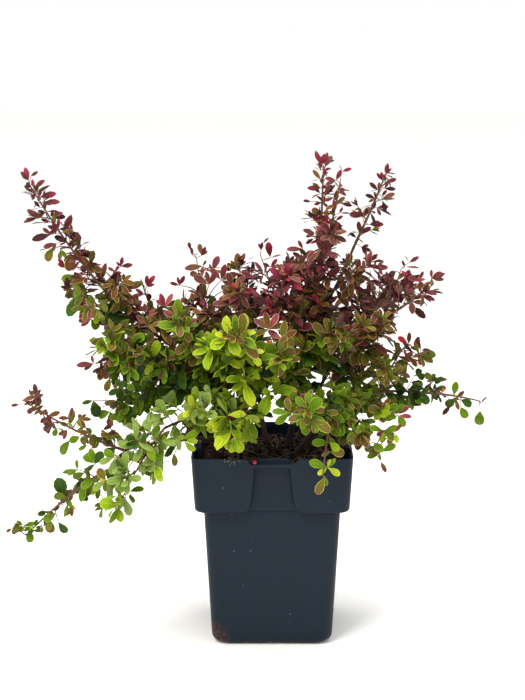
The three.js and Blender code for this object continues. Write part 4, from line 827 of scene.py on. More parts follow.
def collar_ring(share, inset, below=0):
    """A ring of the collar at a share of the way from its foot to the local top of the wall."""
    foot = COLLAR_FOOT + COLLAR_EDGE + inset
    z_mean = lerp(foot, POT_HEIGHT, share)
    half = collar_half(z_mean) - inset

    def height(x, out):
        return lerp(foot, rim_height(x), share) - below

    slot = SLOT_DEPTH if inset == 0 and 0 < share < SLOT_TOP else 0.0
    edge = pocket_edge(z_mean) + inset
    return square_ring(half, corner_at(z_mean, inset), height, edge, half - POCKET_DEPTH, slot)


def pot_mesh():
    """The pot as one closed skin: rings from the middle of its underside, up the outside, over the rim
    and down the inside to the middle of its floor."""
    rings = []
    foot_flat = BODY_FOOT_WIDTH / 2 - FOOT_FILLET
    under, arched = level(0), over_channels(0)
    for half, z_of in (
        (14, under), (CHANNEL_END, under), (CHANNEL_END, arched), (40, arched), (foot_flat, arched),
    ):
        rings.append(plain_ring(half, z_of, min(CHANNEL_HALF_WIDTH, half * 0.6)))
    for angle in np.radians([15, 30, 45, 60, 75, 90]):
        z = FOOT_FILLET * (1 - math.cos(angle))
        half = body_half(z) - FOOT_FILLET * (1 - math.sin(angle))
        rings.append(square_ring(half, corner_at(z), over_channels(z), CHANNEL_HALF_WIDTH, half))
    for z in np.linspace(14, COLLAR_FOOT, 12):
        rings.append(square_ring(body_half(z), corner_at(z), level(z), pocket_edge(z), body_half(z)))
    recess = collar_half(COLLAR_FOOT) - POCKET_DEPTH
    edge = pocket_edge(COLLAR_FOOT + POCKET_SILL)
    for angle in np.radians([0, 20, 40, 60, 80]):
        half = collar_half(COLLAR_FOOT) - COLLAR_EDGE * (1 - math.sin(angle))
        z = COLLAR_FOOT + COLLAR_EDGE * (1 - math.cos(angle))
        rings.append(square_ring(half, corner_at(z), sill_height(z), edge, recess))
    for share in (0, 0.06, 0.13, 0.2, 0.3, 0.45, 0.6, 0.75, 0.9, 0.97):
        rings.append(collar_ring(share, 0))
    for inset, below in (
        (0, LIP), (LIP / 2, LIP / 4), (LIP, 0), (WALL - LIP, 0), (WALL - LIP / 2, LIP / 4), (WALL, LIP),
    ):
        rings.append(collar_ring(1, inset, below))
    for share in (0.9, 0.6, 0.3, 0):
        rings.append(collar_ring(share, WALL))
    for z in (COLLAR_FOOT, 100, 50, FLOOR + 8):
        half = body_half(z) - WALL
        rings.append(square_ring(half, corner_at(z, WALL), level(z), pocket_edge(z), half))
    for half in (body_half(FLOOR) - WALL - 6, 20):
        rings.append(plain_ring(half, level(FLOOR), half / 4))
    return merged(mesh_of("pot_shell", *closed_rings(rings, (0, 0, 0), (0, 0, FLOOR))))


def sill_height(z):
    """Height of a ring of the collar's foot, raised to the sill inside the pocket."""
    return lambda x, out: np.where(IN_POCKET, max(z, COLLAR_FOOT + POCKET_SILL), z)


def closed_rings(rings, first, last):
    """Skin over rings of equal length, closed by a fan to a point at each end."""
    return np.concatenate([*rings, [first], [last]]), ring_faces(len(rings), len(rings[0]))


def drain_cutter():
    """Four upright rods, one for each drain hole."""
    place = CHANNEL_END + 2 * DRAIN_RADIUS
    feet = np.array([[0, -place], [place, 0], [0, place], [-place, 0]], float)
    heights = (-FLOOR, 3 * FLOOR)
    paths = np.stack([np.column_stack([feet, np.full(4, z)]) for z in heights], axis=1)
    return mesh_of("drain_cutter", *tubes(paths, np.full((4, 2, 1), DRAIN_RADIUS), DRAIN_SIDES)[:2])


def drilled(piece, cutter_mesh):
    """Takes the cutter out of the piece."""
    cutter = put_in_scene("drain_cutter", cutter_mesh)
    cut = piece.modifiers.new("drain_holes", "BOOLEAN")
    cut.operation = "DIFFERENCE"
    cut.solver = "EXACT"
    cut.object = cutter
    bpy.context.view_layer.objects.active = piece
    bpy.ops.object.modifier_apply(modifier=cut.name)
    bpy.data.objects.remove(cutter)


def bar_mesh():
    """The bars that close the pockets' tops: along each side a strip with rounded edges, in the plane of
    the collar's face. Radius by turn: half / max(|cos|, |sin|)^0.85, then stretched to the bar's height
    and the wall's thickness."""
    x = np.linspace(-BAR_HALF_LENGTH, BAR_HALF_LENGTH, 5)
    z = POT_HEIGHT - NOTCH_DEPTH - BAR_HEIGHT / 2
    out = collar_half(z) - WALL / 2
    turns = np.arange(BAR_SIDES) * 2 * math.pi / BAR_SIDES
    squarish = 1 / np.maximum(np.abs(np.cos(turns)), np.abs(np.sin(turns))) ** 0.85
    parts = []
    for quarter in range(4):
        path = turned(quarter, x, out, np.full(5, z))
        points, faces, finishes = tubes(path[None], np.tile(squarish * 0.5, (1, 5, 1)), BAR_SIDES)
        points[:, 2] = z + (points[:, 2] - z) * BAR_HEIGHT
        turn = quarter * math.pi / 2
        across = np.array([math.sin(turn), -math.cos(turn), 0])
        points += np.outer((points @ across - out) * (WALL - 1), across)
        parts.append((points, faces, finishes))
    return merged(mesh_of("label_bars", *joined(parts)))


# Soil


def waves(x, y, seed, count, lengths, height):
    """Uneven ground: a sum of sine waves of random direction, phase and length."""
    dice = np.random.default_rng(seed)
    total = np.zeros_like(x)
    for _ in range(count):
        turn, phase = dice.uniform(0, 2 * math.pi, 2)
        pull = 2 * math.pi / dice.uniform(*lengths)
        total += np.sin(pull * (x * math.cos(turn) + y * math.sin(turn)) + phase)
    return total * height / math.sqrt(count)


def soil_height(x, y):
    """The soil's surface: level round the stems, falling to the rim, with lumps."""
    out = np.maximum(np.abs(x), np.abs(y))
    ground = np.interp(out, [0, SOIL_PLATEAU, 76], [SOIL_TOP, SOIL_TOP, SOIL_EDGE])
    return ground + waves(x, y, 3, 14, (9, 34), 0.9)


def soil_mesh():
    """The root ball as one closed skin that fits the pot's inside, with an uneven top."""
    inset = WALL + GAP
    foot = FLOOR + GAP
    rings = [plain_ring(half, level(foot), half / 4) for half in (20, body_half(FLOOR) - inset - 7)]
    for z in (FLOOR + 9, 60, 110, COLLAR_FOOT - 1):
        half = body_half(z) - inset
        rings.append(square_ring(half, corner_at(z, inset), level(z), pocket_edge(z), half))
    for z in (COLLAR_FOOT + 6, SOIL_EDGE - 4):
        half = collar_half(z) - inset
        edge = pocket_edge(z) + inset
        rings.append(square_ring(half, corner_at(z, inset), level(z), edge, half - POCKET_DEPTH))
    rim = rings[-1]
    for share in np.linspace(1, 0.03, 44):
        ring = rim * [share, share, 1]
        ring[:, 2] = soil_height(ring[:, 0], ring[:, 1])
        rings.append(ring)
    return mesh_of("soil_bed", *closed_rings(rings, (0, 0, foot), (0, 0, SOIL_TOP)))


def icosahedron():
    """Corners and faces of a regular solid of 20 faces."""
    g = (1 + math.sqrt(5)) / 2
    corners = np.array([
        (-1, g, 0), (1, g, 0), (-1, -g, 0), (1, -g, 0), (0, -1, g), (0, 1, g),
        (0, -1, -g), (0, 1, -g), (g, 0, -1), (g, 0, 1), (-g, 0, -1), (-g, 0, 1),
    ]) / math.hypot(1, g)
    faces = np.array([
        (0, 11, 5), (0, 5, 1), (0, 1, 7), (0, 7, 10), (0, 10, 11), (1, 5, 9), (5, 11, 4),
        (11, 10, 2), (10, 7, 6), (7, 1, 8), (3, 9, 4), (3, 4, 2), (3, 2, 6), (3, 6, 8),
        (3, 8, 9), (4, 9, 5), (2, 4, 11), (6, 2, 10), (8, 6, 7), (9, 8, 1),
    ])
    return corners, faces


def random_turns(count, dice):
    """Rotation matrices spread evenly over all turns, from random unit quaternions."""
    q = unit(dice.normal(size=(count, 4)))
    w, x, y, z = q.T
    return np.stack([
        np.stack([1 - 2 * (y * y + z * z), 2 * (x * y - z * w), 2 * (x * z + y * w)], -1),
        np.stack([2 * (x * y + z * w), 1 - 2 * (x * x + z * z), 2 * (y * z - x * w)], -1),
        np.stack([2 * (x * z - y * w), 2 * (y * z + x * w), 1 - 2 * (x * x + y * y)], -1),
    ], 1)


def bark_chips():
    """Crumbs and chips of bark on the soil: uneven flattened icosahedra, lying at all turns but mostly
    flat. Returns points, faces and finishes."""
    dice = np.random.default_rng(11)
    corners, faces = icosahedron()
    x, y = dice.uniform(-CHIPS_REACH, CHIPS_REACH, (2, CRUMBS + CHIPS))
    near, far = np.sort(np.abs([x, y]), axis=0)
    size = np.concatenate([dice.uniform(*CRUMB_SIZES, CRUMBS), dice.uniform(*CHIP_SIZES, CHIPS)])
    kept = (far < SOIL_REACH) & ~((far > BEHIND_POCKET) & (near < POCKET_FLARE + 1))
    x, y, size = x[kept], y[kept], size[kept]
    count = len(x)
    flat = [size, size * dice.uniform(0.35, 0.75, count), size * dice.uniform(0.2, 0.42, count)]
    bumps = dice.uniform(-UNEVEN, UNEVEN, (count, len(corners), 1))
    rough = corners * (1 + bumps) * np.stack(flat, 1)[:, None]
    lying = np.einsum("nij,nkj->nki", random_turns(count, dice), rough)
    lying[:, :, 2] *= 0.7
    middle = np.stack([x, y, soil_height(x, y) + 0.25 * size], 1)
    points = (lying + middle[:, None]).reshape(-1, 3)
    finishes = np.repeat(dice.choice(4, count, p=CHIP_SHARES), len(faces))
    return points, copies([faces], count, len(corners)), [finishes]


def wandering_paths(starts, headings, lengths, bend, dice, pull=0.0):
    """Paths that wander: each step goes on in a heading that strays by a random amount and may be
    pulled down."""
    places = [starts]
    heading = unit(headings)
    for _ in range(ROOT_STEPS - 1):
        heading = unit(heading + dice.normal(0, bend, heading.shape) - pull * UP)
        places.append(places[-1] + heading * (lengths / (ROOT_STEPS - 1))[:, None])
    return np.stack(places, axis=1)


def lying_paths(dice, count, half, lengths, bend, limit):
    """Paths that wander over the soil. They start within half of its middle and stay within limit."""
    flat = np.zeros(count)
    starts = np.stack([dice.uniform(-half, half, count), dice.uniform(-half, half, count), flat], 1)
    headings = np.stack([dice.normal(size=count), dice.normal(size=count), flat], 1)
    paths = wandering_paths(starts, headings, dice.uniform(*lengths, count), bend, dice)
    paths[..., :2] = np.clip(paths[..., :2], -limit, limit)
    paths[..., 2] = soil_height(paths[..., 0], paths[..., 1])
    return paths


def root_radii(dice, count, tip, low, high):
    """Radii that taper to a share at the tip."""
    return np.linspace(1, tip, ROOT_STEPS)[None, :, None] * dice.uniform(low, high, (count, 1, 1))


def soil_roots():
    """Fine roots lying over the soil, a tuft of pale ones that hangs over the rim, and dead twigs."""
    dice = np.random.default_rng(5)
    paths = lying_paths(dice, ROOTS, 66, (10, 32), 0.35, 68)
    paths[..., 2] += dice.uniform(0.2, 2.2, (ROOTS, 1))
    lying = tubes(paths, root_radii(dice, ROOTS, 0.5, 0.25, 0.75), 4, 0)
    x, y, z = TUFT_PLACE
    starts = np.stack([dice.normal(x, 3, TUFT), np.full(TUFT, y), np.full(TUFT, z)], 1)
    headings = np.stack([dice.normal(-0.25, 0.5, TUFT), np.full(TUFT, -1.0), dice.uniform(0.3, 1.1, TUFT)], 1)
    paths = wandering_paths(starts, headings, dice.uniform(5, 13, TUFT), 0.16, dice, 0.16)
    hanging = tubes(paths, root_radii(dice, TUFT, 0.4, 0.12, 0.24), 4, 1)
    paths = lying_paths(dice, DEAD_TWIGS, 50, (16, 38), 0.1, 66)
    paths[..., 2] += np.linspace(0.5, 4, ROOT_STEPS) * dice.random((DEAD_TWIGS, 1))
    dead = tubes(paths, root_radii(dice, DEAD_TWIGS, 0.6, 0.5, 1.0), 6, 2)
    return joined([lying, hanging, dead])


# Limbs and the rule that places the twigs


class Dice:
    """Seeded numbers from 0 to 1, the same as those of the solids."""

    def __init__(self, seed):
        self.state = (seed * 2654435761) % 4294967296

    def roll(self):
        self.state = (self.state * 1664525 + 1013904223) % 4294967296
        return self.state / 4294967296

    def between(self, low, high):
        return low + (high - low) * self.roll()


class Curve:
    """A limb's centre line: start, and tip, bowed by lifting the middle control point."""

    def __init__(self, start, tip, lift):
        self.start = np.array(start, float)
        self.tip = np.array(tip, float)
        self.control = (self.start + self.tip) / 2 + UP * lift

    def points(self, along):
        t = np.atleast_1d(along)[:, None]
        return (1 - t) ** 2 * self.start + 2 * t * (1 - t) * self.control + t**2 * self.tip

    def tangent(self, along):
        slope = lerp(self.control - self.start, self.tip - self.control, along)
        return unit(slope)

    def length(self):
        return np.sum(np.linalg.norm(np.diff(self.points(np.linspace(0, 1, 20)), axis=0), axis=1))


class Limb:
    def __init__(self, curve, thick, flare=0.0):
        self.curve = curve
        self.thick = thick
        self.flare = flare
        self.samples = curve.points(np.linspace(0, 1, CURVE_SAMPLES + 1))

    def radius(self, along):
        """A straight taper, with the root flare dying away up the stem."""
        return lerp(*self.thick, along) + self.flare * np.exp(-along / FLARE_HEIGHT)


def grow_limbs():
    limbs = {}
    for name, (foot, tip, lift, thick) in STEMS.items():
        limbs[name] = Limb(Curve((*foot, SOIL_TOP + GAP), tip, lift), thick, STEM_FLARE)
    for name, (parent, at, tip, lift, thick) in BOUGHS.items():
        limbs[name] = Limb(child_curve(limbs[parent], at, tip, lift), thick)
    return limbs


def child_curve(parent, at, tip, lift):
    """A child starts on its parent's centre line, or just past its parent's tip."""
    start = parent.curve.points(at)[0]
    if at >= 1:
        start = start + parent.curve.tangent(1) * GAP
    return Curve(start, tip, lift)


def nearest(point, lines):
    """Distance from a point to each of many lines of short straight pieces, and how far along each of
    them the nearest place lies."""
    start, step = lines[:, :-1], np.diff(lines, axis=1)
    share = np.clip(np.sum((point - start) * step, -1) / np.sum(step * step, -1), 0, 1)
    distance = np.linalg.norm(start + step * share[..., None] - point, axis=-1)
    best = np.argmin(distance, axis=1)
    rows = np.arange(len(lines))
    return distance[rows, best], (best + share[rows, best]) / step.shape[1]


class Mass:
    """One mass of foliage, with its stem's curve and the straight pieces that the solid is made of."""

    def __init__(self, name, row, limbs):
        self.on, at, tip, lift, self.spread, self.twigs, leaf, self.tint, self.seed = row
        self.name = name
        self.curve = child_curve(limbs[self.on], at, tip, lift)
        self.side = unit(np.cross(self.curve.tip - self.curve.start, UP))
        self.samples = self.curve.points(np.linspace(0, 1, CURVE_SAMPLES + 1))
        self.line = self.curve.points(np.linspace(0, 1, STEM_STEPS + 1))
        self.cane = leaf <= CANE_LEAF
        self.sparse = SPARSE.get(name, 1.0)
        self.hanging = name in HANGING
        self.leaf = leaf * (CANE_LEAF_LIFE if self.cane else LEAF_LIFE[self.tint])
        self.usual_colour, self.leaf_nodes = LEAF_NODES.get(name, ("", ()))

    def line_point(self, at):
        piece = min(STEM_STEPS - 1, int(at * STEM_STEPS))
        return lerp(self.line[piece], self.line[piece + 1], at * STEM_STEPS - piece)

    def line_tangent(self, at):
        piece = min(STEM_STEPS - 1, int(at * STEM_STEPS))
        return unit(self.line[piece + 1] - self.line[piece])


def square_to(direction, chord):
    """Two directions square to a line. The reference is chosen by the whole line."""
    steep = abs(chord[2]) > STEEP_SHARE * np.linalg.norm(chord)
    side = unit(np.cross(BACK if steep else UP, direction))
    return side, unit(np.cross(direction, side))


def lean_from(line, chord, angle, turn):
    """A direction that leans from a line by an angle, at a turn round it."""
    side, top = square_to(line, chord)
    out = side * math.cos(turn) + top * math.sin(turn)
    return line * math.cos(angle) + out * math.sin(angle)


class Spaces:
    """Each mass's own space: points nearer to its stem than to any other, for its spread."""

    def __init__(self, limbs, masses):
        self.limbs = list(limbs.values())
        self.limb_lines = np.array([limb.samples for limb in self.limbs])
        self.lines = np.array([mass.samples for mass in masses])
        self.spreads = np.array([mass.spread for mass in masses], float)
        self.rank = {mass.name: i for i, mass in enumerate(masses)}

    def free(self, mass, point, radius):
        return (
            clear_of_pot(point)
            and self.clear_of_limbs(point, CLEAR + radius)
            and self.holds(mass, point, CLEAR + radius)
        )

    def clear_of_limbs(self, point, margin):
        distances, along = nearest(point, self.limb_lines)
        return all(
            distance > limb.radius(share) + margin
            for limb, distance, share in zip(self.limbs, distances, along)
        )

    def open_at(self, point, margin):
        return clear_of_pot(point, margin) and self.clear_of_limbs(point, margin)

    def reaches(self, point):
        """Whether a point is within the spread of any mass."""
        return np.min(nearest(point, self.lines)[0] / self.spreads) < 1

    def holds(self, mass, point, margin):
        shares = nearest(point, self.lines)[0] / self.spreads
        own = self.rank[mass.name]
        room = (shares - shares[own]) * np.minimum(self.spreads, mass.spread)
        room[own] = np.inf
        return room.min() > margin


def clear_of_pot(point, margin=CLEAR_OF_POT):
    reach = POT_WIDTH / 2 + margin
    over = abs(point[0]) < reach and abs(point[1]) < reach
    return point[2] > (POT_HEIGHT if over else 0) + margin


def side_twigs(mass, spaces):
    """The solids' rule: side twigs climb the stem, each a third of a turn on, shorten towards its tip
    and stop where their mass's space ends."""
    dice = Dice(mass.seed)
    chord = mass.line[-1] - mass.line[0]
    twigs = []
    for i in range(mass.twigs):
        step = i / (mass.twigs - 1) if mass.twigs > 1 else 0.5
        strays = dice.between(-TWIG_STRAYS, TWIG_STRAYS)
        at = lerp(FIRST_TWIG_AT, LAST_TWIG_AT, step) + strays
        angle = TWIG_ANGLE * dice.between(0.8, 1.15)
        length = mass.spread * (1 - TWIG_SHORTENS * at) * dice.between(0.8, 1.15)
        start = mass.line_point(at)
        turn = (i + 0.5) * FACE_TURN + dice.between(-TURN_JITTER, TURN_JITTER)
        way = lean_from(mass.line_tangent(at), chord, angle, turn) + UP * TWIG_TURNS_UP
        reach = 1.0
        for test in range(2, REACH_TESTS + 1):
            if not spaces.free(mass, start + way * length * test / REACH_TESTS, TWIG_RADIUS):
                reach = (test - 1) / REACH_TESTS
                break
        if reach * length > SHORTEST_TWIG:
            twigs.append((at, start, start + way * length * reach))
    return twigs


# Finer twigs and rosettes


class Growth:
    """What has grown: twigs as paths with their thickness, rosettes that wait for leaves, leaves set one
    by one, and thorns."""

    def __init__(self):
        self.twigs = []
        self.rosettes = []
        self.set_leaves = []
        self.spines = []


TWIG_STEPS = 6
SPUR_STEPS = 3


def bowed(start, tip, rise, steps=TWIG_STEPS):
    """A gently bowed twig: straight from start to tip, lifted along a parabola."""
    share = np.linspace(0, 1, steps)[:, None]
    return lerp(start, tip, share) + UP * rise * 4 * share * (1 - share)


def length_of(path):
    return np.sum(np.linalg.norm(np.diff(path, axis=0), axis=1))


def along_path(path, share):
    """Place and direction at a share of the way along a path."""
    spot = share * (len(path) - 1)
    piece = min(len(path) - 2, int(spot))
    return lerp(path[piece], path[piece + 1], spot - piece), unit(path[piece + 1] - path[piece])


def outwards_from(place):
    return unit(place - HEART)


def leaf_size(mass, at):
    return mass.leaf * lerp(1, CANE_TIP_LEAF if mass.cane else TIP_LEAF, at) * chance.uniform(0.85, 1.15)


def golden_nodes(path, nodes, leans, first=0.0, places=(0.3, 0.7)):
    """Nodes along a path by the golden turn: how far along each is, its place, and the direction in
    which its twig leans."""
    turn = chance.uniform(0, 2 * math.pi)
    for node in range(nodes):
        share = first + (1 - first) * (node + chance.uniform(*places)) / nodes
        place, line = along_path(path, share)
        turn += GOLDEN_TURN
        yield share, place, lean_from(line, line, math.radians(chance.uniform(*leans)), turn)


def add_spurs(growth, mass, path, at_of, spacing, first=0.0):
    """Short spurs all along a twig, each with a rosette at its end."""
    nodes = max(1, round(length_of(path) * (1 - first) / (spacing * mass.sparse)))
    for node, (share, place, lean) in enumerate(golden_nodes(path, nodes, SPUR_LEAN, first)):
        at = at_of(share)
        way = unit(lean + 0.3 * UP + 0.25 * outwards_from(place))
        spur = chance.uniform(*SPUR_LENGTHS) * (CANE_SPUR if mass.cane else 1)
        tip = place + way * spur
        if spur > SHORTEST_SPUR:
            growth.twigs.append((bowed(place, tip, 0, SPUR_STEPS), SPUR_RADIUS))
        growth.rosettes.append((tip, way, leaf_size(mass, at), chance.integers(1, 5), SPUR_OPENS, mass, at))
        if node % SPINE_EVERY == 0:
            growth.spines.append((place, unit(lean - 0.4 * UP), chance.uniform(*SPINE_LENGTHS)))


def finish_tip(growth, mass, path, at):
    """The young leaves at a twig's tip: upright and close round the bud."""
    place, line = along_path(path, 1)
    leaves, opening = (4, CANE_TIP_OPENS) if mass.cane else (int(chance.integers(4, 7)), TIP_OPENS)
    growth.rosettes.append((place, unit(line + 0.25 * UP), leaf_size(mass, at), leaves, opening, mass, at))


def add_fine_twigs(growth, mass, spaces, path, at_of, share_of_spread):
    """Fine twigs along a twig. They shorten towards its tip, turn up and outwards, and are left out
    where they would leave the mass's space."""
    nodes = max(1, round(length_of(path) / (FINE_SPACING * mass.sparse)))
    for share, place, lean in golden_nodes(path, nodes, FINE_LEAN):
        at = at_of(share)
        way = unit(lean + 0.22 * UP + 0.3 * outwards_from(place))
        length = mass.spread * (1 - TWIG_SHORTENS * at) * chance.uniform(*FINE_LENGTHS) * share_of_spread
        for shrink in (1.0, 0.6):
            tip = place + way * length * shrink
            if spaces.holds(mass, tip, -SLACK) and spaces.open_at(tip, 2):
                break
        else:
            continue
        length *= shrink
        if length < SHORTEST_FINE:
            continue
        twig = bowed(place, tip, FINE_BOWS * length)
        growth.twigs.append((twig, FINE_RADIUS))
        outer = min(1.0, at + 0.25)
        if length > SPURRED_FROM:
            add_spurs(growth, mass, twig, lambda along, at=at: lerp(at, outer, along), SPUR_SPACING, 0.3)
        finish_tip(growth, mass, twig, outer)


def add_leaf_nodes(growth, mass):
    """The nodes whose leaves are set one by one, each on its own fine twig off the mass's stem. In the
    upright plane the leaves head as the table says; in depth they stray."""
    dice = np.random.default_rng(mass.seed)
    for along, right, up, *leaves in mass.leaf_nodes:
        place = mass.curve.points(along)[0]
        node = place + np.array([right, dice.uniform(-DEPTH_STRAYS, DEPTH_STRAYS), up])
        reach = math.hypot(right, up)
        if reach > ON_THE_STEM:
            path = bowed(place, node, NODE_BOWS * reach, SPUR_STEPS)
            growth.twigs.append((path, SIDE_RADIUS if reach > STOUT_REACH else SPUR_RADIUS))
        for heading, length, *words in leaves:
            kind = next((word for word in words if word == "edge" or word in SHAPES), "slim")
            colour = next((word for word in words if word in LEAF_COLOURS), mass.usual_colour)
            turn = math.radians(heading)
            pointing = np.array([math.cos(turn), dice.uniform(*POINTING_STRAYS), math.sin(turn)])
            facing = 0.4 * UP - BACK + dice.normal(0, SET_FACING_STRAYS, 3)
            if kind == "edge":
                kind = "slim"
                facing = np.array([-math.sin(turn), -0.3, math.cos(turn)])
                facing *= math.copysign(1, facing[2])
            growth.set_leaves.append((node, pointing, facing, length, kind, colour, mass))


def grow_mass(growth, mass, spaces):
    """The mass's stem and the solids' side twigs, then fine twigs and spurs on both."""
    end = SPRAYS_END.get(mass.name, 1.0)
    nodes_along = [row[0] for row in mass.leaf_nodes]
    stem = mass.curve.points(np.linspace(0, min(1.0, max([end + 0.1, *nodes_along])), 12))
    growth.twigs.append((stem, CANE_RADIUS if mass.cane else STEM_RADIUS))
    leafy = mass.curve.points(np.linspace(0, end, 12))
    add_fine_twigs(growth, mass, spaces, leafy, lambda share: end * share, 1.0)
    add_spurs(growth, mass, leafy, lambda share: end * share, CANE_SPACING if mass.cane else SPUR_SPACING)
    add_leaf_nodes(growth, mass)
    if not nodes_along:
        finish_tip(growth, mass, leafy, end)
    for at, start, tip in side_twigs(mass, spaces):
        if at > end:
            continue
        path = bowed(start, tip, SIDE_BOWS * np.linalg.norm(tip - start))
        growth.twigs.append((path, SIDE_RADIUS))

        def at_of(share, at=at):
            return lerp(at, max(at, SIDE_TIPS_AT), share)

        add_fine_twigs(growth, mass, spaces, path, at_of, SIDE_SHARE)
        add_spurs(growth, mass, path, at_of, SPUR_SPACING, 0.2)
        finish_tip(growth, mass, path, at_of(1))


def add_bough_twigs(growth, mass, spaces, path, first):
    """Fine twigs along a bough. They end within the reach of the masses round it."""
    nodes = round(length_of(path) * (1 - first) / BOUGH_TWIG_SPACING)
    for _, place, lean in golden_nodes(path, nodes, FINE_LEAN, first, (0.2, 0.8)):
        way = unit(lean + 0.25 * UP)
        length = chance.uniform(*BOUGH_TWIG_LENGTHS)
        tip = place + way * length
        if not (spaces.reaches(tip) and spaces.open_at(tip, 3)):
            continue
        twig = bowed(place, tip, FINE_BOWS * length)
        growth.twigs.append((twig, FINE_RADIUS))
        add_spurs(growth, mass, twig, lambda share: 0.3 + 0.4 * share, SPUR_SPACING, 0.2)
        finish_tip(growth, mass, twig, 0.8)


def grow(limbs, masses, spaces):
    growth = Growth()
    for mass in masses:
        grow_mass(growth, mass, spaces)
    for name, limb in limbs.items():
        own = next((mass for mass in masses if mass.on == name), None)
        if own is None:
            continue
        first = BARE_SHARE[name.split("_")[0]]
        path = limb.curve.points(np.linspace(0, 1, 16))
        add_spurs(growth, own, path, lambda share: BOUGH_LEAVES_AT, BOUGH_SPACING, first)
        if name not in SLIM_BOUGHS:
            add_bough_twigs(growth, own, spaces, path, first)
    return growth


# Leaves


def leaf_half_width(t, shape):
    """Half the blade's width by how far along: it swells from the petiole to the belly as a power of a
    sine, and closes as a power curve, a rounded one or one that comes to a point."""
    belly = shape["belly"]
    swell = PETIOLE + (1 - PETIOLE) * np.sin(np.clip(t / belly, 0, 1) * math.pi / 2) ** shape["swell"]
    past = np.clip((t - belly) / (1 - belly), 0, 1)
    close = (1 - past ** shape["tip"]) ** (1 / shape["tip"])
    return np.where(t < belly, swell, close)


def leaf_template(shape, edged):
    """A leaf's points as along, across and side: a root, then at each station the left edge, the upper
    side, the right edge and the lower midrib, and a tip. An edged leaf has a margin on each side of its
    blade. Then its faces, and the part that each belongs to: blade 0, margin 1, underside 2."""
    rows = []
    for t in shape["stations"]:
        half = float(leaf_half_width(t, shape))
        inner = half - MARGIN_WIDTH * min(1, half * 1.6)
        margins = [(t, inner, 1), (t, 0, 1), (t, -inner, 1)] if edged else [(t, 0, 1)]
        rows += [(t, half, 0), *margins, (t, -half, 0), (t, 0, -1)]
    points = np.array([(0, 0, 0), *rows, (1, 0, 0)], float)
    parts = [1, 0, 0, 1, 2, 2] if edged else [0, 0, 2, 2]
    around = len(parts)
    left = np.arange(around)
    right = (left + 1) % around
    lows = 1 + around * np.arange(len(shape["stations"]) - 1)[:, None]
    quads = np.stack([lows + left, lows + right, lows + around + right, lows + around + left], -1)
    tip = len(points) - 1
    root_fan = np.stack([np.zeros(around, int), 1 + right, 1 + left], -1)
    tip_fan = np.stack([np.full(around, tip), tip - around + left, tip - around + right], -1)
    faces = [quads.reshape(-1, 4), np.concatenate([root_fan, tip_fan])]
    return points, faces, [np.tile(parts, len(lows)), np.array(parts * 2)]


TEMPLATES = {kind: leaf_template(shape, kind != "pointed") for kind, shape in SHAPES.items()}
REDDISH = ("crimson", "wine", "plum", "rose", "bronze", "shade_wine", "red")
# The leaves of a rosette: step between them, how far the inner and outer ones open in degrees, and how
# their length grows, then sag, strays, cup and droop, the cup and droop of leaves set one by one, and how
# far along a leaf its widest part lies
LEAF_STEP = 1.3
LEAF_OPENS = (22, 82)
LEAF_LENGTHENS = (0.66, 1.1)
LEAF_SAGS = 0.12
HANGING_SAGS = (0.2, 0.9)
OPENING_STRAYS = 12
FACING_STRAYS = 0.42
LEAF_CUPS = (0.1, 0.5)
LEAF_DROOPS = (-0.15, 0.6)
SET_CURL = (0.25, 0.2)
MIDDLE = 0.6
LEAF_SHARP_OVER = math.radians(60)
# Sprays have pointed leaves from this far along a mass, and these shares have slim or broad ones
YOUNG_FROM = 0.6
SLIM_SHARE = 0.25
USUAL_BROAD_SHARE = 0.06
BROAD_LEAF_LENGTH = 0.88
# Masses whose leaves are mostly broad, and how large a share of them
BROAD_SHARE = {
    "right_long_twig": 0.9, "right_low": 0.55, "left_under": 0.6, "left_rear": 0.4, "front_droop": 0.7,
    "left_trail_tip": 0.45, "left_long_twig": 0.35, "right_inner": 0.3, "pale_spray": 0.25,
}


def leaf_points(kind, root, pointing, facing, length, width, cup, droop):
    """Points of many leaves. In the leaf's own frame, by along t and across s:
    x = L t (1 - droop^2 t^2 / 6), y = s W L / 2, z = -droop L t^2 / 2 + cup |y| t + thickness."""
    t, s, side = TEMPLATES[kind][0].T
    across = unit(np.cross(facing, pointing))
    normal = np.cross(pointing, across)
    size = length[:, None]
    x = size * t * (1 - droop[:, None] ** 2 * t**2 / 6)
    y = size * s * width[:, None] / 2
    z = -droop[:, None] * size * t**2 / 2 + cup[:, None] * np.abs(y) * t
    z = z + side * BLADE_THICKNESS * size * 0.5
    return (
        root[:, None]
        + x[..., None] * pointing[:, None]
        + y[..., None] * across[:, None]
        + z[..., None] * normal[:, None]
    )


# Colours of sprays by tint: how many parts of each colour deep in a mass, where shade_wine and shade_green
# are painted shade, and at its tips
SPRAYS = {
    "wine": (
        {"plum": 4, "bronze": 4, "olive": 1.2, "shade_wine": 2.5, "wine": 2.5},
        {"crimson": 1.4, "wine": 6, "plum": 5, "rose": 1, "bronze": 1},
    ),
    "bronze": (
        {"olive": 4, "shade_green": 2, "bronze": 5, "shade_wine": 1.5},
        {"plum": 5, "wine": 1.5, "bronze": 4, "olive": 4, "rose": 0.4},
    ),
    "olive": (
        {"olive": 5, "green": 4, "shade_green": 3},
        {"olive": 5, "bronze": 2, "green": 4, "plum": 0.7},
    ),
    "green": (
        {"green": 5, "deep": 3, "shade_green": 3, "olive": 1},
        {"green": 6, "lime": 1.6, "olive": 4, "bronze": 0.8, "plum": 0.4},
    ),
    "bright": (
        {"green": 5, "lime": 4, "shade_green": 3},
        {"lime": 7, "yellow_green": 3, "green": 3},
    ),
    "pale": (
        {"green": 3, "pale": 4, "deep": 1},
        {"pale": 7, "lime": 1.5, "green": 1.5},
    ),
    "dark": (
        {"deep": 6, "shade_green": 3, "green": 2},
        {"deep": 5, "green": 5, "olive": 1},
    ),
}
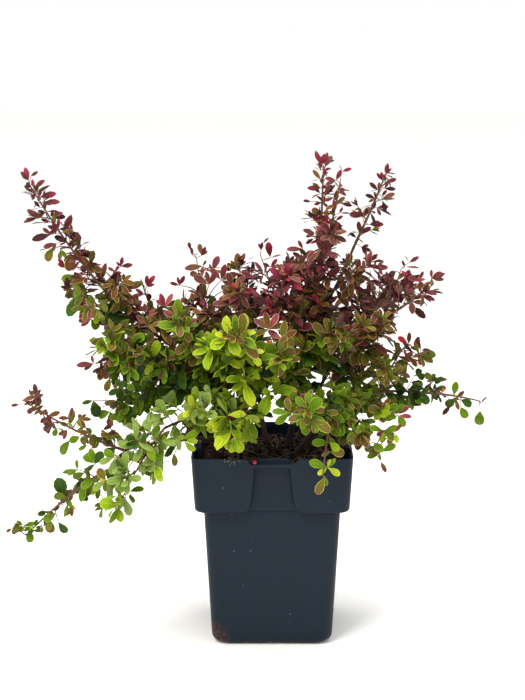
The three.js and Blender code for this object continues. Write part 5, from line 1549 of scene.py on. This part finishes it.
# The shrub turns from the top: above a height a tint gives way to a redder one, below one to a greener.
# Heights are as seen from the front, where what stands nearer looks lower.
TURNS_REDDER = {"bright": (297, "olive"), "green": (310, "bronze"), "bronze": (340, "wine")}
TURNS_GREENER = {"wine": (326, "bronze"), "bronze": (300, "olive"), "olive": (268, "green")}
LOOKS_LOWER = 0.25
TURNS_LOWER_RIGHT = 0.16
HEIGHT_STRAYS = 9
# The outer end of the long twig on the left has turned: from here on its sprays are plum
TURNED_TIPS = {"left_long_twig": (0.72, "plum"), "left_rear": (0.86, "plum")}
# Blade, margin, underside and the blush near the tip of each colour
LEAF_COLOURS = {
    "crimson": ("661c28", "80343c", "5e2c34", "84243a"),
    "wine": ("562629", "88523f", "583834", "66242f"),
    "plum": ("5e382e", "a8825e", "60443c", "582a30"),
    "rose": ("7e3a40", "c49a7c", "80504e", "76303e"),
    "bronze": ("5e421c", "a08e4a", "5e522a", "5a2e24"),
    "olive": ("585810", "969644", "5e6428", "62442a"),
    "green": ("4a6608", "84992e", "56641c", "56700e"),
    "deep": ("2e460e", "56702e", "3e5220", "2e4e12"),
    "lime": ("74920a", "a6b43c", "748628", "84981a"),
    "yellow_green": ("90a414", "b8be48", "869238", "9caa22"),
    "pale": ("6a8236", "96a65a", "7c9050", "748a40"),
    # shade_wine and shade_green are painted shade: darker copies of wine and green, for leaves deep in a mass
    # and for some of the leaves set one by one
    "shade_wine": ("33161a", "4a2824", "3c2622", "3a1418"),
    "shade_green": ("1a2c0a", "30441a", "2c3a1c", "223610"),
    "red": ("a82838", "cc7068", "8a3a42", "b22c38"),
    "orange": ("c4501c", "dc8c3c", "a8643a", "b03c18"),
    "yellow": ("b8963c", "d0b868", "a89450", "bc8a3c"),
}
# Single leaves that have turned: colour, place seen from the front as x and z, and length. Each is the
# frontmost leaf that is this near to its place
NEAR = 9
AWAY_COUNTS = 4
TURNED_LEAVES = (
    ("red", (-36, 359), 9), ("crimson", (-22, 350), 15), ("red", (42, 346), 12), ("red", (78, 319), 6),
    ("red", (131, 304), 14), ("red", (94, 311), 5), ("orange", (176, 250), 7), ("orange", (125, 247), 6),
    ("orange", (147, 237), 7), ("orange", (-5, 311), 6), ("yellow", (-125, 200), 11),
    ("yellow", (-184, 163), 6), ("yellow", (-203, 130), 9),
)


def tint_at(mass, root):
    """The tint of a spray: its mass's own, or the next redder or greener one by its height."""
    height = root[2] + LOOKS_LOWER * root[1] + TURNS_LOWER_RIGHT * root[0] + chance.normal(0, HEIGHT_STRAYS)
    tint = mass.tint
    if tint == "dark":
        return tint
    if tint in TURNS_REDDER and height > TURNS_REDDER[tint][0]:
        tint = TURNS_REDDER[tint][1]
    elif tint in TURNS_GREENER and height < TURNS_GREENER[tint][0]:
        tint = TURNS_GREENER[tint][1]
    return tint


def spray_colour(mass, at, root):
    """The colour of one spray, dealt by its place."""
    turned_from, turned_to = TURNED_TIPS.get(mass.name, (2.0, ""))
    if at > turned_from:
        return turned_to
    low, high = SPRAYS[tint_at(mass, root)]
    table = high if chance.random() < at else low
    weights = np.array(list(table.values()), float)
    return str(chance.choice(list(table), p=weights / weights.sum()))


def leaf_kind(mass, at, colour):
    """The shape of a spray's leaves: young red ones are narrow, some masses' are broad, the rest are
    round if green and slimmer if not."""
    if colour in ("crimson", "wine") and (mass.cane or at > YOUNG_FROM):
        return "pointed"
    if chance.random() < BROAD_SHARE.get(mass.name, USUAL_BROAD_SHARE):
        return "broad"
    return "slim" if colour in REDDISH or chance.random() < SLIM_SHARE else "round"


COLUMNS = ("root", "pointing", "facing", "length", "width", "cup", "droop")


class Leaves:
    """All leaves as columns, each with its mass, colour and shape."""

    def __init__(self, growth):
        rows, self.mass, self.colour, self.kind = [], [], [], []

        def add(mass, colour, kind, *row):
            rows.append(np.hstack(row))
            self.mass.append(mass)
            self.colour.append(colour)
            self.kind.append(kind)

        for root, pointing, facing, length, kind, colour, mass in growth.set_leaves:
            width = SHAPES[kind]["width"]
            add(mass, colour, kind, root, unit(pointing), unit(facing), length, width, *SET_CURL)
        for root, axis, size, count, opening, mass, at in growth.rosettes:
            colour = spray_colour(mass, at, root)
            kind = leaf_kind(mass, at, colour)
            turn = chance.uniform(0, 2 * math.pi)
            for leaf in range(count):
                turn += GOLDEN_TURN
                outer = 1 - leaf / count
                foot = root - axis * LEAF_STEP * (count - 1 - leaf) * (0.4 if opening < 0.5 else 1)
                angle = math.radians(lerp(*LEAF_OPENS, outer) * opening + chance.normal(0, OPENING_STRAYS))
                pointing = lean_from(axis, axis, angle, turn + chance.normal(0, 0.3)) - LEAF_SAGS * UP
                facing = axis * 0.6 + UP * 0.5 + 0.2 * outwards_from(root)
                if mass.hanging:
                    pointing = pointing - chance.uniform(*HANGING_SAGS) * UP
                    facing = mass.side * chance.choice([-1, 1]) + 0.3 * UP
                facing = unit(facing + chance.normal(0, FACING_STRAYS, 3))
                length = size * lerp(*LEAF_LENGTHENS, outer) * chance.uniform(0.8, 1.15)
                if kind == "broad":
                    length *= BROAD_LEAF_LENGTH
                width = SHAPES[kind]["width"] * chance.uniform(0.88, 1.14)
                curl = chance.uniform(*LEAF_CUPS), chance.uniform(*LEAF_DROOPS)
                add(mass, colour, kind, foot, unit(pointing), facing, length, width, *curl)
        rows = np.array(rows)
        self.root, self.pointing, self.facing = rows[:, 0:3], rows[:, 3:6], rows[:, 6:9]
        self.length, self.width, self.cup, self.droop = rows[:, 9:].T
        self.keep(self.clear_of_the_rest())
        self.keep(self.above_the_fringe())
        self.keep(self.uncrowded())
        self.turn_single_leaves()

    def __len__(self):
        return len(self.length)

    def keep(self, wanted):
        for name in COLUMNS:
            setattr(self, name, getattr(self, name)[wanted])
        for name in ("mass", "colour", "kind"):
            setattr(self, name, [one for one, yes in zip(getattr(self, name), wanted) if yes])

    def at(self, share):
        return self.root + self.pointing * (self.length * share)[:, None]

    def clear_of_the_rest(self):
        """Leaves whose middle and tip are clear of the pot and of the limbs."""
        good = np.ones(len(self), bool)
        for share in (MIDDLE, 1.0):
            point = self.at(share)
            over = np.max(np.abs(point[:, :2]), axis=1) < POT_WIDTH / 2 + 1.5
            good &= point[:, 2] > np.where(over, POT_HEIGHT + 1, 2)
            for limb in limbs.values():
                line = limb.curve.points(np.linspace(0, 1, 24))
                away = np.min(np.linalg.norm(point[:, None] - line[None], axis=2), axis=1)
                good &= away > limb.radius(0.5) + 1
        return good

    def above_the_fringe(self):
        """Leaves that don't hang too low in front of the collar and beside it on the left."""
        x, y, z = self.at(1).T
        before = (x > FRINGE_SPAN[0]) & (x < FRINGE_SPAN[1]) & (y < FRINGE_FRONT)
        drooping = np.array([mass.name in DROOPING for mass in self.mass])
        return ~before | drooping | (z > np.where(x < -POT_WIDTH / 2, LEFT_FRINGE, FRINGE))

    def turn_single_leaves(self):
        """Gives the single leaves that have turned their colours: each the frontmost one near its
        place as seen from the camera, on the upright plane through the pot's middle."""
        eye = np.array(CAMERA_PLACE) / MM
        middle = self.at(MIDDLE)
        seen = eye + (middle - eye) * (-eye[1] / (middle[:, 1] - eye[1]))[:, None]
        for colour, (x, z), length in TURNED_LEAVES:
            away = np.hypot(seen[:, 0] - x, seen[:, 2] - z)
            row = np.argmin(middle[:, 1] + AWAY_COUNTS * away + np.where(away > NEAR, 1000, 0))
            self.colour[row] = colour
            self.facing[row] = unit(0.5 * self.facing[row] - BACK + 0.4 * UP)
            self.length[row] = length

    def uncrowded(self):
        """Leaves whose middle has its own small cell of space."""
        cells = np.floor(self.at(MIDDLE) / CROWD).astype(int)
        _, first = np.unique(cells, axis=0, return_index=True)
        wanted = np.zeros(len(self), bool)
        wanted[first] = True
        return wanted


def foliage_piece(tint, side, wanted, leaves, nodes):
    """The wanted leaves as one piece, with three materials for each colour."""
    name = f"foliage_{tint}_{side}"
    rows = np.flatnonzero(wanted)
    colours = sorted({leaves.colour[row] for row in rows})
    number = {colour: 3 * i for i, colour in enumerate(colours)}
    parts, marks = [], []
    for kind, (template, faces, face_parts) in TEMPLATES.items():
        own = np.array([row for row in rows if leaves.kind[row] == kind], int)
        if len(own) == 0:
            continue
        points = leaf_points(kind, *(getattr(leaves, column)[own] for column in COLUMNS))
        first = np.array([number[leaves.colour[row]] for row in own])[:, None]
        finishes = [(first + part).ravel() for part in face_parts]
        parts.append((points.reshape(-1, 3), copies(faces, len(own), len(template)), finishes))
        marks.append(np.tile(template[:, :2] * [1, 0.5] + [0, 0.5], (len(own), 1)))
    points, faces, finishes = joined(parts)
    mesh = mesh_of(name, points, faces, finishes)
    mesh.set_sharp_from_angle(angle=LEAF_SHARP_OVER)
    corners = np.concatenate([rows.ravel() for rows in faces])
    layer = mesh.uv_layers.new(name="leaf")
    layer.data.foreach_set("uv", np.concatenate(marks)[corners].astype(np.float32).ravel())
    materials = [material for colour in colours for material in LEAF_MATERIALS[colour]]
    return add_piece(name, mesh, "foliage_" + tint, materials, nodes)


# What lies on the soil: leaves as x, y, heading in degrees, length and colour; a berry as its middle and
# radius, on the bar of the front pocket; the leaves' width by their length, cup and droop
FALLEN_LEAVES = (
    (25, 44, 200, 18, "dry"), (-63, 50, 20, 12, "yellow"), (-8, 8, 80, 14, "dry"), (52, 30, 150, 15, "dry"),
    (6, -34, 10, 9, "pale"), (-40, 20, 300, 13, "dry"), (44, -20, 40, 12, "dry"), (-20, 56, 120, 14, "dry"),
)
FALLEN_COLOURS = {"dry": "7c4a26", "yellow": "c89a28", "pale": "b8a47c"}
BERRY_PLACE = (-17.2, -78.6, 196.4)
BERRY_RADIUS = 2.1
FALLEN_CURL = (0.5, 0.7, 0.5)


def fallen_leaves():
    """Leaves that lie curled on the soil."""
    x, y, heading, length = np.array([row[:4] for row in FALLEN_LEAVES], float).T
    turn = np.radians(heading)
    root = np.stack([x, y, soil_height(x, y) + 1.6], 1)
    pointing = unit(np.stack([np.cos(turn), np.sin(turn), 0.12 * np.sin(3 * turn)], 1))
    facing = unit(np.stack([0.3 * np.sin(turn), -0.3 * np.cos(turn), np.ones(len(x))], 1))
    curl = (np.full(len(x), value) for value in FALLEN_CURL)
    points = leaf_points("round", root, pointing, facing, length, *curl)
    template, faces, _ = TEMPLATES["round"]
    finish = [list(FALLEN_COLOURS).index(row[4]) for row in FALLEN_LEAVES]
    finishes = [np.repeat(finish, len(rows)) for rows in faces]
    return points.reshape(-1, 3), copies(faces, len(x), len(template)), finishes


def berry_parts():
    """A berry as a tube whose radius is that of a ball, sqrt(r^2 - h^2) at height h."""
    height = BERRY_RADIUS * np.sin(np.linspace(-0.5, 0.5, 9) * math.pi * 0.98)
    path = np.array(BERRY_PLACE) + height[:, None] * unit(np.array([0.5, -0.3, 1.0]))
    return tubes(path[None], np.sqrt(BERRY_RADIUS**2 - height**2)[None, :, None], 14)


# Wood


BARK_SIDES = 20
BARK_STEP = 1.6
NODE_SPACING = 13
SPINE_RADII = (0.28, 0.16, 0.02)


def bark_tube(limb, seed):
    """A limb with its bark's relief. Radius: taper * (1 + ridges), where the ridges are sines round the
    limb that drift slowly along it, with a swelling at each node."""
    length = limb.curve.length()
    along = np.linspace(0, 1, max(12, int(length / BARK_STEP)))
    flat = 0 * along
    dice = np.random.default_rng(seed)
    turns = np.arange(BARK_SIDES) * 2 * math.pi / BARK_SIDES
    relief = np.zeros((len(along), BARK_SIDES))
    for ridges, height in ((3, 0.05), (5, 0.05), (7, 0.045)):
        drift = dice.uniform(-4, 4) * along + waves(along * length, flat, seed + ridges, 5, (8, 30), 0.6)
        relief += height * np.sin(ridges * turns + drift[:, None] + dice.uniform(0, 6.3))
    fine = waves(along * length, flat, seed + 31, 6, (3, 9), 0.03)
    nodes = 0.10 * np.maximum(0, np.cos(along * length * 2 * math.pi / NODE_SPACING)) ** 8
    radii = limb.radius(along)[:, None] * (1 + relief + fine[:, None] + nodes[:, None])
    return tubes(limb.curve.points(along)[None], radii[None], BARK_SIDES)


def limb_parts(prefix):
    """All limbs of one kind."""
    return joined([
        bark_tube(limb, 100 + seed)
        for seed, (name, limb) in enumerate(limbs.items()) if name.startswith(prefix)
    ])


def twig_parts(growth):
    """All twigs as round tubes, longer ones with more steps."""
    parts = []
    for steps in sorted({len(path) for path, _ in growth.twigs}):
        group = [(path, thick) for path, thick in growth.twigs if len(path) == steps]
        paths = np.array([path for path, _ in group])
        radii = np.array([np.linspace(*thick, steps) for _, thick in group])[..., None]
        sides = {TWIG_STEPS: 5, SPUR_STEPS: 4}.get(steps, 8)
        finish = np.array([0 if thick in (STEM_RADIUS, CANE_RADIUS) else 1 for _, thick in group])
        points, faces, _ = tubes(paths, radii, sides)
        finishes = [np.repeat(finish, len(rows) // len(group)) for rows in faces]
        parts.append((points, faces, finishes))
    return joined(parts)


def spine_parts(growth):
    """A thin thorn under each spur, tapering to its point."""
    start, way, length = (np.array(column) for column in zip(*growth.spines))
    steps = np.linspace(0, 1, len(SPINE_RADII))[None, :, None]
    paths = start[:, None] + way[:, None] * length[:, None, None] * steps
    return tubes(paths, np.tile(np.array(SPINE_RADII)[None, :, None], (len(start), 1, 1)), 4)


# Materials


COLOUR = "NodeSocketColor"
NUMBER = "NodeSocketFloat"
# A leaf's midrib, side veins and brown spots
RIB_HALF_WIDTH = 0.028
VEINS = 6.5
VEIN_SLANT = 4.2
VEIN_WIDTH = 0.1
SPOT_LEVEL = 0.685
# The pot's specks, and where its stain is and from where to where it thickens, in metres
SPECK_SIZE = 0.075
SPECK_RARITY = 0.7
STAIN_PLACE = (-0.059, -0.057, 0.007)
STAIN_REACH = (0.02, 0.004)


def linear(code):
    """A colour code as it is seen, turned into light."""
    values = [int(code[i : i + 2], 16) / 255 for i in (0, 2, 4)]
    return [v / 12.92 if v <= 0.04045 else ((v + 0.055) / 1.055) ** 2.4 for v in values] + [1.0]


class Nodes:
    """Lays nodes in a node tree. A value is a plain one or an output of another node."""

    def __init__(self, tree):
        self.tree = tree

    def put(self, socket, value):
        if isinstance(value, bpy.types.NodeSocket):
            self.tree.links.new(value, socket)
        else:
            socket.default_value = value

    def add(self, kind, inputs=None, **settings):
        """A new node. inputs: values by the input's name or number."""
        node = self.tree.nodes.new(kind)
        for name, value in settings.items():
            setattr(node, name, value)
        for name, value in (inputs or {}).items():
            self.put(node.inputs[name], value)
        return node

    def sum(self, operation, *values):
        """One step of arithmetic."""
        return self.add("ShaderNodeMath", dict(enumerate(values)), operation=operation).outputs[0]

    def scaled(self, colour, factor):
        return self.add("ShaderNodeVectorMath", {0: colour, "Scale": factor}, operation="SCALE").outputs[0]

    def mixed(self, share, low, high):
        """One colour turned into another by a share."""
        inputs = {"Factor": share, "A": low, "B": high}
        return self.add("ShaderNodeMix", inputs, data_type="RGBA").outputs["Result"]

    def noise(self, scale, detail):
        """Noise laid out by the object's own coordinates."""
        place = self.add("ShaderNodeTexCoord").outputs["Object"]
        inputs = {"Vector": place, "Scale": scale, "Detail": detail}
        return self.add("ShaderNodeTexNoise", inputs).outputs["Fac"]

    def ranged(self, value, low, high, **settings):
        """How far a value has come from low to high, from 0 to 1."""
        inputs = {"Value": value, "From Min": low, "From Max": high}
        return self.add("ShaderNodeMapRange", inputs, **settings).outputs["Result"]


def surface_group(name, inputs):
    """A new node group for a surface, with the inputs named and the outputs Colour, Roughness and
    Height. Returns its nodes, what it takes and what it gives."""
    tree = bpy.data.node_groups.new(name, "ShaderNodeTree")
    outputs = {"Colour": COLOUR, "Roughness": NUMBER, "Height": NUMBER}
    for way, sockets in (("INPUT", inputs), ("OUTPUT", outputs)):
        for socket, kind in sockets.items():
            tree.interface.new_socket(socket, in_out=way, socket_type=kind)
    taken = tree.nodes.new("NodeGroupInput").outputs
    return Nodes(tree), taken, tree.nodes.new("NodeGroupOutput").inputs


def grain_group():
    """Small uneven spots of a surface: darkens and lightens a colour and gives a height and a roughness."""
    nodes, taken, given = surface_group("fine_grain", {
        "Colour": COLOUR, "Amount": NUMBER, "Scale": NUMBER, "Smoothest": NUMBER, "Roughest": NUMBER,
    })
    noise = nodes.noise(taken["Scale"], 4)
    spots = nodes.sum("MULTIPLY", nodes.sum("SUBTRACT", noise, 0.5), taken["Amount"])
    rough = nodes.add("ShaderNodeMapRange", {
        "Value": noise, "From Min": 0.3, "From Max": 0.7, "To Min": taken["Smoothest"],
        "To Max": taken["Roughest"],
    })
    nodes.put(given["Colour"], nodes.scaled(taken["Colour"], nodes.sum("ADD", spots, 1)))
    nodes.put(given["Roughness"], rough.outputs["Result"])
    nodes.put(given["Height"], noise)
    return nodes.tree


GRAIN = grain_group()


def surface(name, group, inputs, bump, bump_depth, specular):
    """A material whose colour, roughness and height come from a node group."""
    material = bpy.data.materials.new(name)
    material.use_nodes = True
    nodes = Nodes(material.node_tree)
    shader = material.node_tree.nodes["Principled BSDF"].inputs
    look = nodes.add("ShaderNodeGroup", inputs, node_tree=group, name="look").outputs
    relief = nodes.add("ShaderNodeBump", {"Strength": bump, "Distance": bump_depth, "Height": look["Height"]})
    nodes.put(shader["Specular IOR Level"], specular)
    nodes.put(shader["Base Color"], look["Colour"])
    nodes.put(shader["Roughness"], look["Roughness"])
    nodes.put(shader["Normal"], relief.outputs["Normal"])
    return material


def grained(name, code, amount, scale, smoothest, roughest, bump, bump_depth=0.0003, specular=0.5):
    """A material of one colour with fine grain in its colour, roughness and height."""
    return surface(name, GRAIN, {
        "Colour": linear(code), "Amount": amount, "Scale": scale, "Smoothest": smoothest,
        "Roughest": roughest,
    }, bump, bump_depth, specular)


def blade_group():
    """A leaf's blade, laid out along u from root to tip and across v with its midrib at a half. The
    blush fills the outer end, the midrib and the slanting side veins are paler and stand up, brown
    spots are rare, and a slow cloud makes neighbouring leaves differ."""
    nodes, taken, given = surface_group("leaf_blade", {"Colour": COLOUR, "Blush": COLOUR, "Spots": NUMBER})
    layout = nodes.add("ShaderNodeUVMap", uv_map="leaf").outputs["UV"]
    split = nodes.add("ShaderNodeSeparateXYZ", {0: layout}).outputs
    along = split["X"]
    across = nodes.sum("ABSOLUTE", nodes.sum("SUBTRACT", split["Y"], 0.5))
    clouds = nodes.noise(70, 3)
    shaded = nodes.scaled(taken["Colour"], nodes.sum("MULTIPLY_ADD", clouds, 1.3, 0.35))
    outer = nodes.ranged(along, 0.35, 1.05, interpolation_type="SMOOTHSTEP")
    blushed = nodes.mixed(outer, shaded, taken["Blush"])
    rib = nodes.sum("LESS_THAN", across, RIB_HALF_WIDTH)
    lag = nodes.sum("MULTIPLY", across, VEIN_SLANT)
    slant = nodes.sum("SUBTRACT", nodes.sum("MULTIPLY", along, VEINS), lag)
    vein = nodes.sum("LESS_THAN", nodes.sum("FRACT", slant), VEIN_WIDTH)
    lines = nodes.sum("MAXIMUM", rib, nodes.sum("MULTIPLY", vein, 0.45))
    lighter = nodes.scaled(blushed, nodes.sum("MULTIPLY_ADD", lines, 0.42, 1))
    spotted = nodes.sum("GREATER_THAN", nodes.noise(520, 1), SPOT_LEVEL)
    spot = nodes.sum("MULTIPLY", spotted, taken["Spots"])
    nodes.put(given["Colour"], nodes.mixed(spot, lighter, linear("4a3016")))
    nodes.put(given["Roughness"], nodes.sum("MULTIPLY_ADD", clouds, 0.4, 0.32))
    nodes.put(given["Height"], lines)
    return nodes.tree


BLADE = blade_group()


def leaf_material(name, code, blush):
    """A leaf's upper side, waxy and a little uneven, in one colour with a blush towards its tip."""
    inputs = {"Colour": linear(code), "Blush": linear(blush), "Spots": 0.7}
    return surface(name, BLADE, inputs, 0.3, 0.0002, 0.12)


def leaf_side(name, code):
    """A leaf's margin or underside: paler, dull and finely grained."""
    return grained(name, code, 0.6, 160, 0.5, 0.7, 0.25, 0.0002, 0.08)


LEAF_MATERIALS = {
    name: [
        leaf_material(f"leaf_{name}", blade, blush),
        leaf_side(f"leaf_{name}_margin", margin),
        leaf_side(f"leaf_{name}_underside", underside),
    ]
    for name, (blade, margin, underside, blush) in LEAF_COLOURS.items()
}


def pot_material():
    """Satin moulded plastic: anthracite with faint cloudiness, small pale specks, and a stain of dried
    soil up the foot's front left corner."""
    material = grained("pot_plastic", "151f2a", 0.3, 90, 0.42, 0.56, 0.12, 0.0002, 0.12)
    nodes = Nodes(material.node_tree)
    place = nodes.add("ShaderNodeTexCoord").outputs["Object"]
    cells = nodes.add("ShaderNodeTexVoronoi", {"Vector": place, "Scale": 105}).outputs
    dot = nodes.sum("LESS_THAN", cells["Distance"], SPECK_SIZE)
    drawn = nodes.add("ShaderNodeSeparateColor", {"Color": cells["Color"]}).outputs["Red"]
    speck = nodes.sum("MULTIPLY", dot, nodes.sum("GREATER_THAN", drawn, SPECK_RARITY))
    colour = material.node_tree.nodes["look"].outputs["Colour"]
    flecked = nodes.mixed(speck, colour, linear("46525e"))
    ends = {0: place, 1: STAIN_PLACE}
    away = nodes.add("ShaderNodeVectorMath", ends, operation="DISTANCE").outputs["Value"]
    patch = nodes.ranged(away, *STAIN_REACH)
    flakes = nodes.sum("SUBTRACT", nodes.noise(420, 3), 0.42)
    stain = nodes.sum("MULTIPLY", nodes.sum("MULTIPLY", flakes, patch), 9)
    stain = nodes.sum("MINIMUM", nodes.sum("MAXIMUM", stain, 0), 0.85)
    shader = material.node_tree.nodes["Principled BSDF"].inputs
    nodes.put(shader["Base Color"], nodes.mixed(stain, flecked, linear("4a2e24")))
    return material


# The pieces


limbs = grow_limbs()
masses = [Mass(name, row, limbs) for name, row in MASSES.items()]
spaces = Spaces(limbs, masses)
growth = grow(limbs, masses, spaces)

pot_plastic = pot_material()
pot = add_piece("pot_shell", pot_mesh(), "pot", [pot_plastic], ["pot"])
drilled(pot, drain_cutter())
add_piece("label_bars", bar_mesh(), "pot", [pot_plastic])

peat = grained("peat", "0a0605", 0.9, 260, 0.85, 1.0, 0.8, 0.001, 0.15)
add_piece("soil_bed", soil_mesh(), "soil", [peat], ["soil"])
add_parts("bark_chips", bark_chips(), "soil", [
    grained("bark_chip_" + name, code, amount, 300, smoothest, 1.0, 0.6, 0.0006, 0.2)
    for name, code, amount, smoothest in (
        ("dark", "160e0a", 0.9, 0.8), ("brown", "302014", 0.9, 0.8), ("red", "4c2a1b", 0.8, 0.75),
        ("grey", "4c3e31", 0.8, 0.8),
    )
], smooth=False)
add_parts("fine_roots", soil_roots(), "soil", [
    grained(name, code, amount, 500, 0.7, 0.95, 0.3)
    for name, code, amount in (
        ("root_brown", "58402c", 0.6), ("root_pale", "9c8c6e", 0.5), ("dead_twig", "4a3426", 0.6),
    )
])
add_parts("fallen_leaves", fallen_leaves(), "soil", [
    leaf_side("fallen_leaf_" + name, code) for name, code in FALLEN_COLOURS.items()
])
berry_skin = grained("berry_skin", "a01020", 0.3, 400, 0.25, 0.4, 0.1)
add_parts("fallen_berry", berry_parts(), "soil", [berry_skin])

stem_bark = grained("stem_bark", "35241e", 1.1, 420, 0.7, 0.95, 0.8, 0.0006, 0.3)
bough_bark = grained("bough_bark", "4a2c22", 0.9, 420, 0.6, 0.85, 0.6, 0.0004, 0.35)
twig_bark = grained("twig_bark", "5a3326", 0.7, 500, 0.5, 0.8, 0.4)
green_twig = grained("young_twig", "6e3a30", 0.6, 500, 0.45, 0.7, 0.3)
spine_wood = grained("spine_wood", "7d4a35", 0.5, 500, 0.4, 0.6, 0.2)
add_parts("stems", limb_parts("stem_"), "stem", [stem_bark], list(STEMS))
add_parts("boughs", limb_parts("bough_"), "bough", [bough_bark], list(BOUGHS))
add_parts("twigs", twig_parts(growth), "bough", [twig_bark, green_twig])
add_parts("spines", spine_parts(growth), "bough", [spine_wood])

leaves = Leaves(growth)
for tint in SPRAYS:
    for side, wanted_side in (("left", True), ("right", False)):
        own = [mass for mass in masses if mass.tint == tint and (mass.curve.tip[0] < 0) == wanted_side]
        if own:
            wanted = np.array([mass in own for mass in leaves.mass])
            foliage_piece(tint, side, wanted, leaves, ["leaves_" + mass.name for mass in own])

# Floor, light and camera


LAMP_WARMTH = (1.0, 0.95, 0.86)
# Lamps: place, size, power and what they shine on, in metres
LAMPS = (
    ("key", (-0.9, -1.3, 2.0), 1.0, 44, (0, 0, 0.28)),
    ("top", (0.2, 0.1, 2.0), 0.8, 26, (0, 0, 0.3)),
)
FLOOR_HALF = 6.0


def studio():
    """A pale floor under a white sky, two soft lamps, and the camera."""
    floor_mesh = bpy.data.meshes.new("floor")
    corners = [(-1, -1), (1, -1), (1, 1), (-1, 1)]
    floor_mesh.from_pydata([(x * FLOOR_HALF, y * FLOOR_HALF, 0) for x, y in corners], [], [(0, 1, 2, 3)])
    floor_mesh.materials.append(grained("pale_floor", "fcfcfb", 0.01, 3, 0.8, 0.9, 0.0, specular=0.0))
    floor = put_in_scene("floor", floor_mesh)
    floor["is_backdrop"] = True
    world = bpy.data.worlds.new("studio")
    bpy.context.scene.world = world
    world.use_nodes = True
    sky = world.node_tree.nodes["Background"].inputs
    sky["Color"].default_value = (1, 1, 1, 1)
    sky["Strength"].default_value = 1.0
    bpy.context.scene.view_settings.view_transform = "Standard"
    for name, place, size, power, aim in LAMPS:
        light = bpy.data.lights.new(name, "AREA")
        light.size = size
        light.energy = power
        light.color = LAMP_WARMTH
        lamp = put_in_scene(name, light)
        lamp.location = place
        lamp.rotation_euler = Vector(np.subtract(aim, place)).to_track_quat("-Z", "Y").to_euler()
    lens = bpy.data.cameras.new("camera")
    lens.lens = CAMERA_LENS
    lens.sensor_width = 36
    camera = put_in_scene("camera", lens)
    camera.location = CAMERA_PLACE
    camera.rotation_euler = (math.pi / 2 - CAMERA_PITCH, 0, 0)
    bpy.context.scene.camera = camera


studio()

visual_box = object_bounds()
{"cad": [list(c) for c in cad_box], "visual": [list(c) for c in visual_box]}
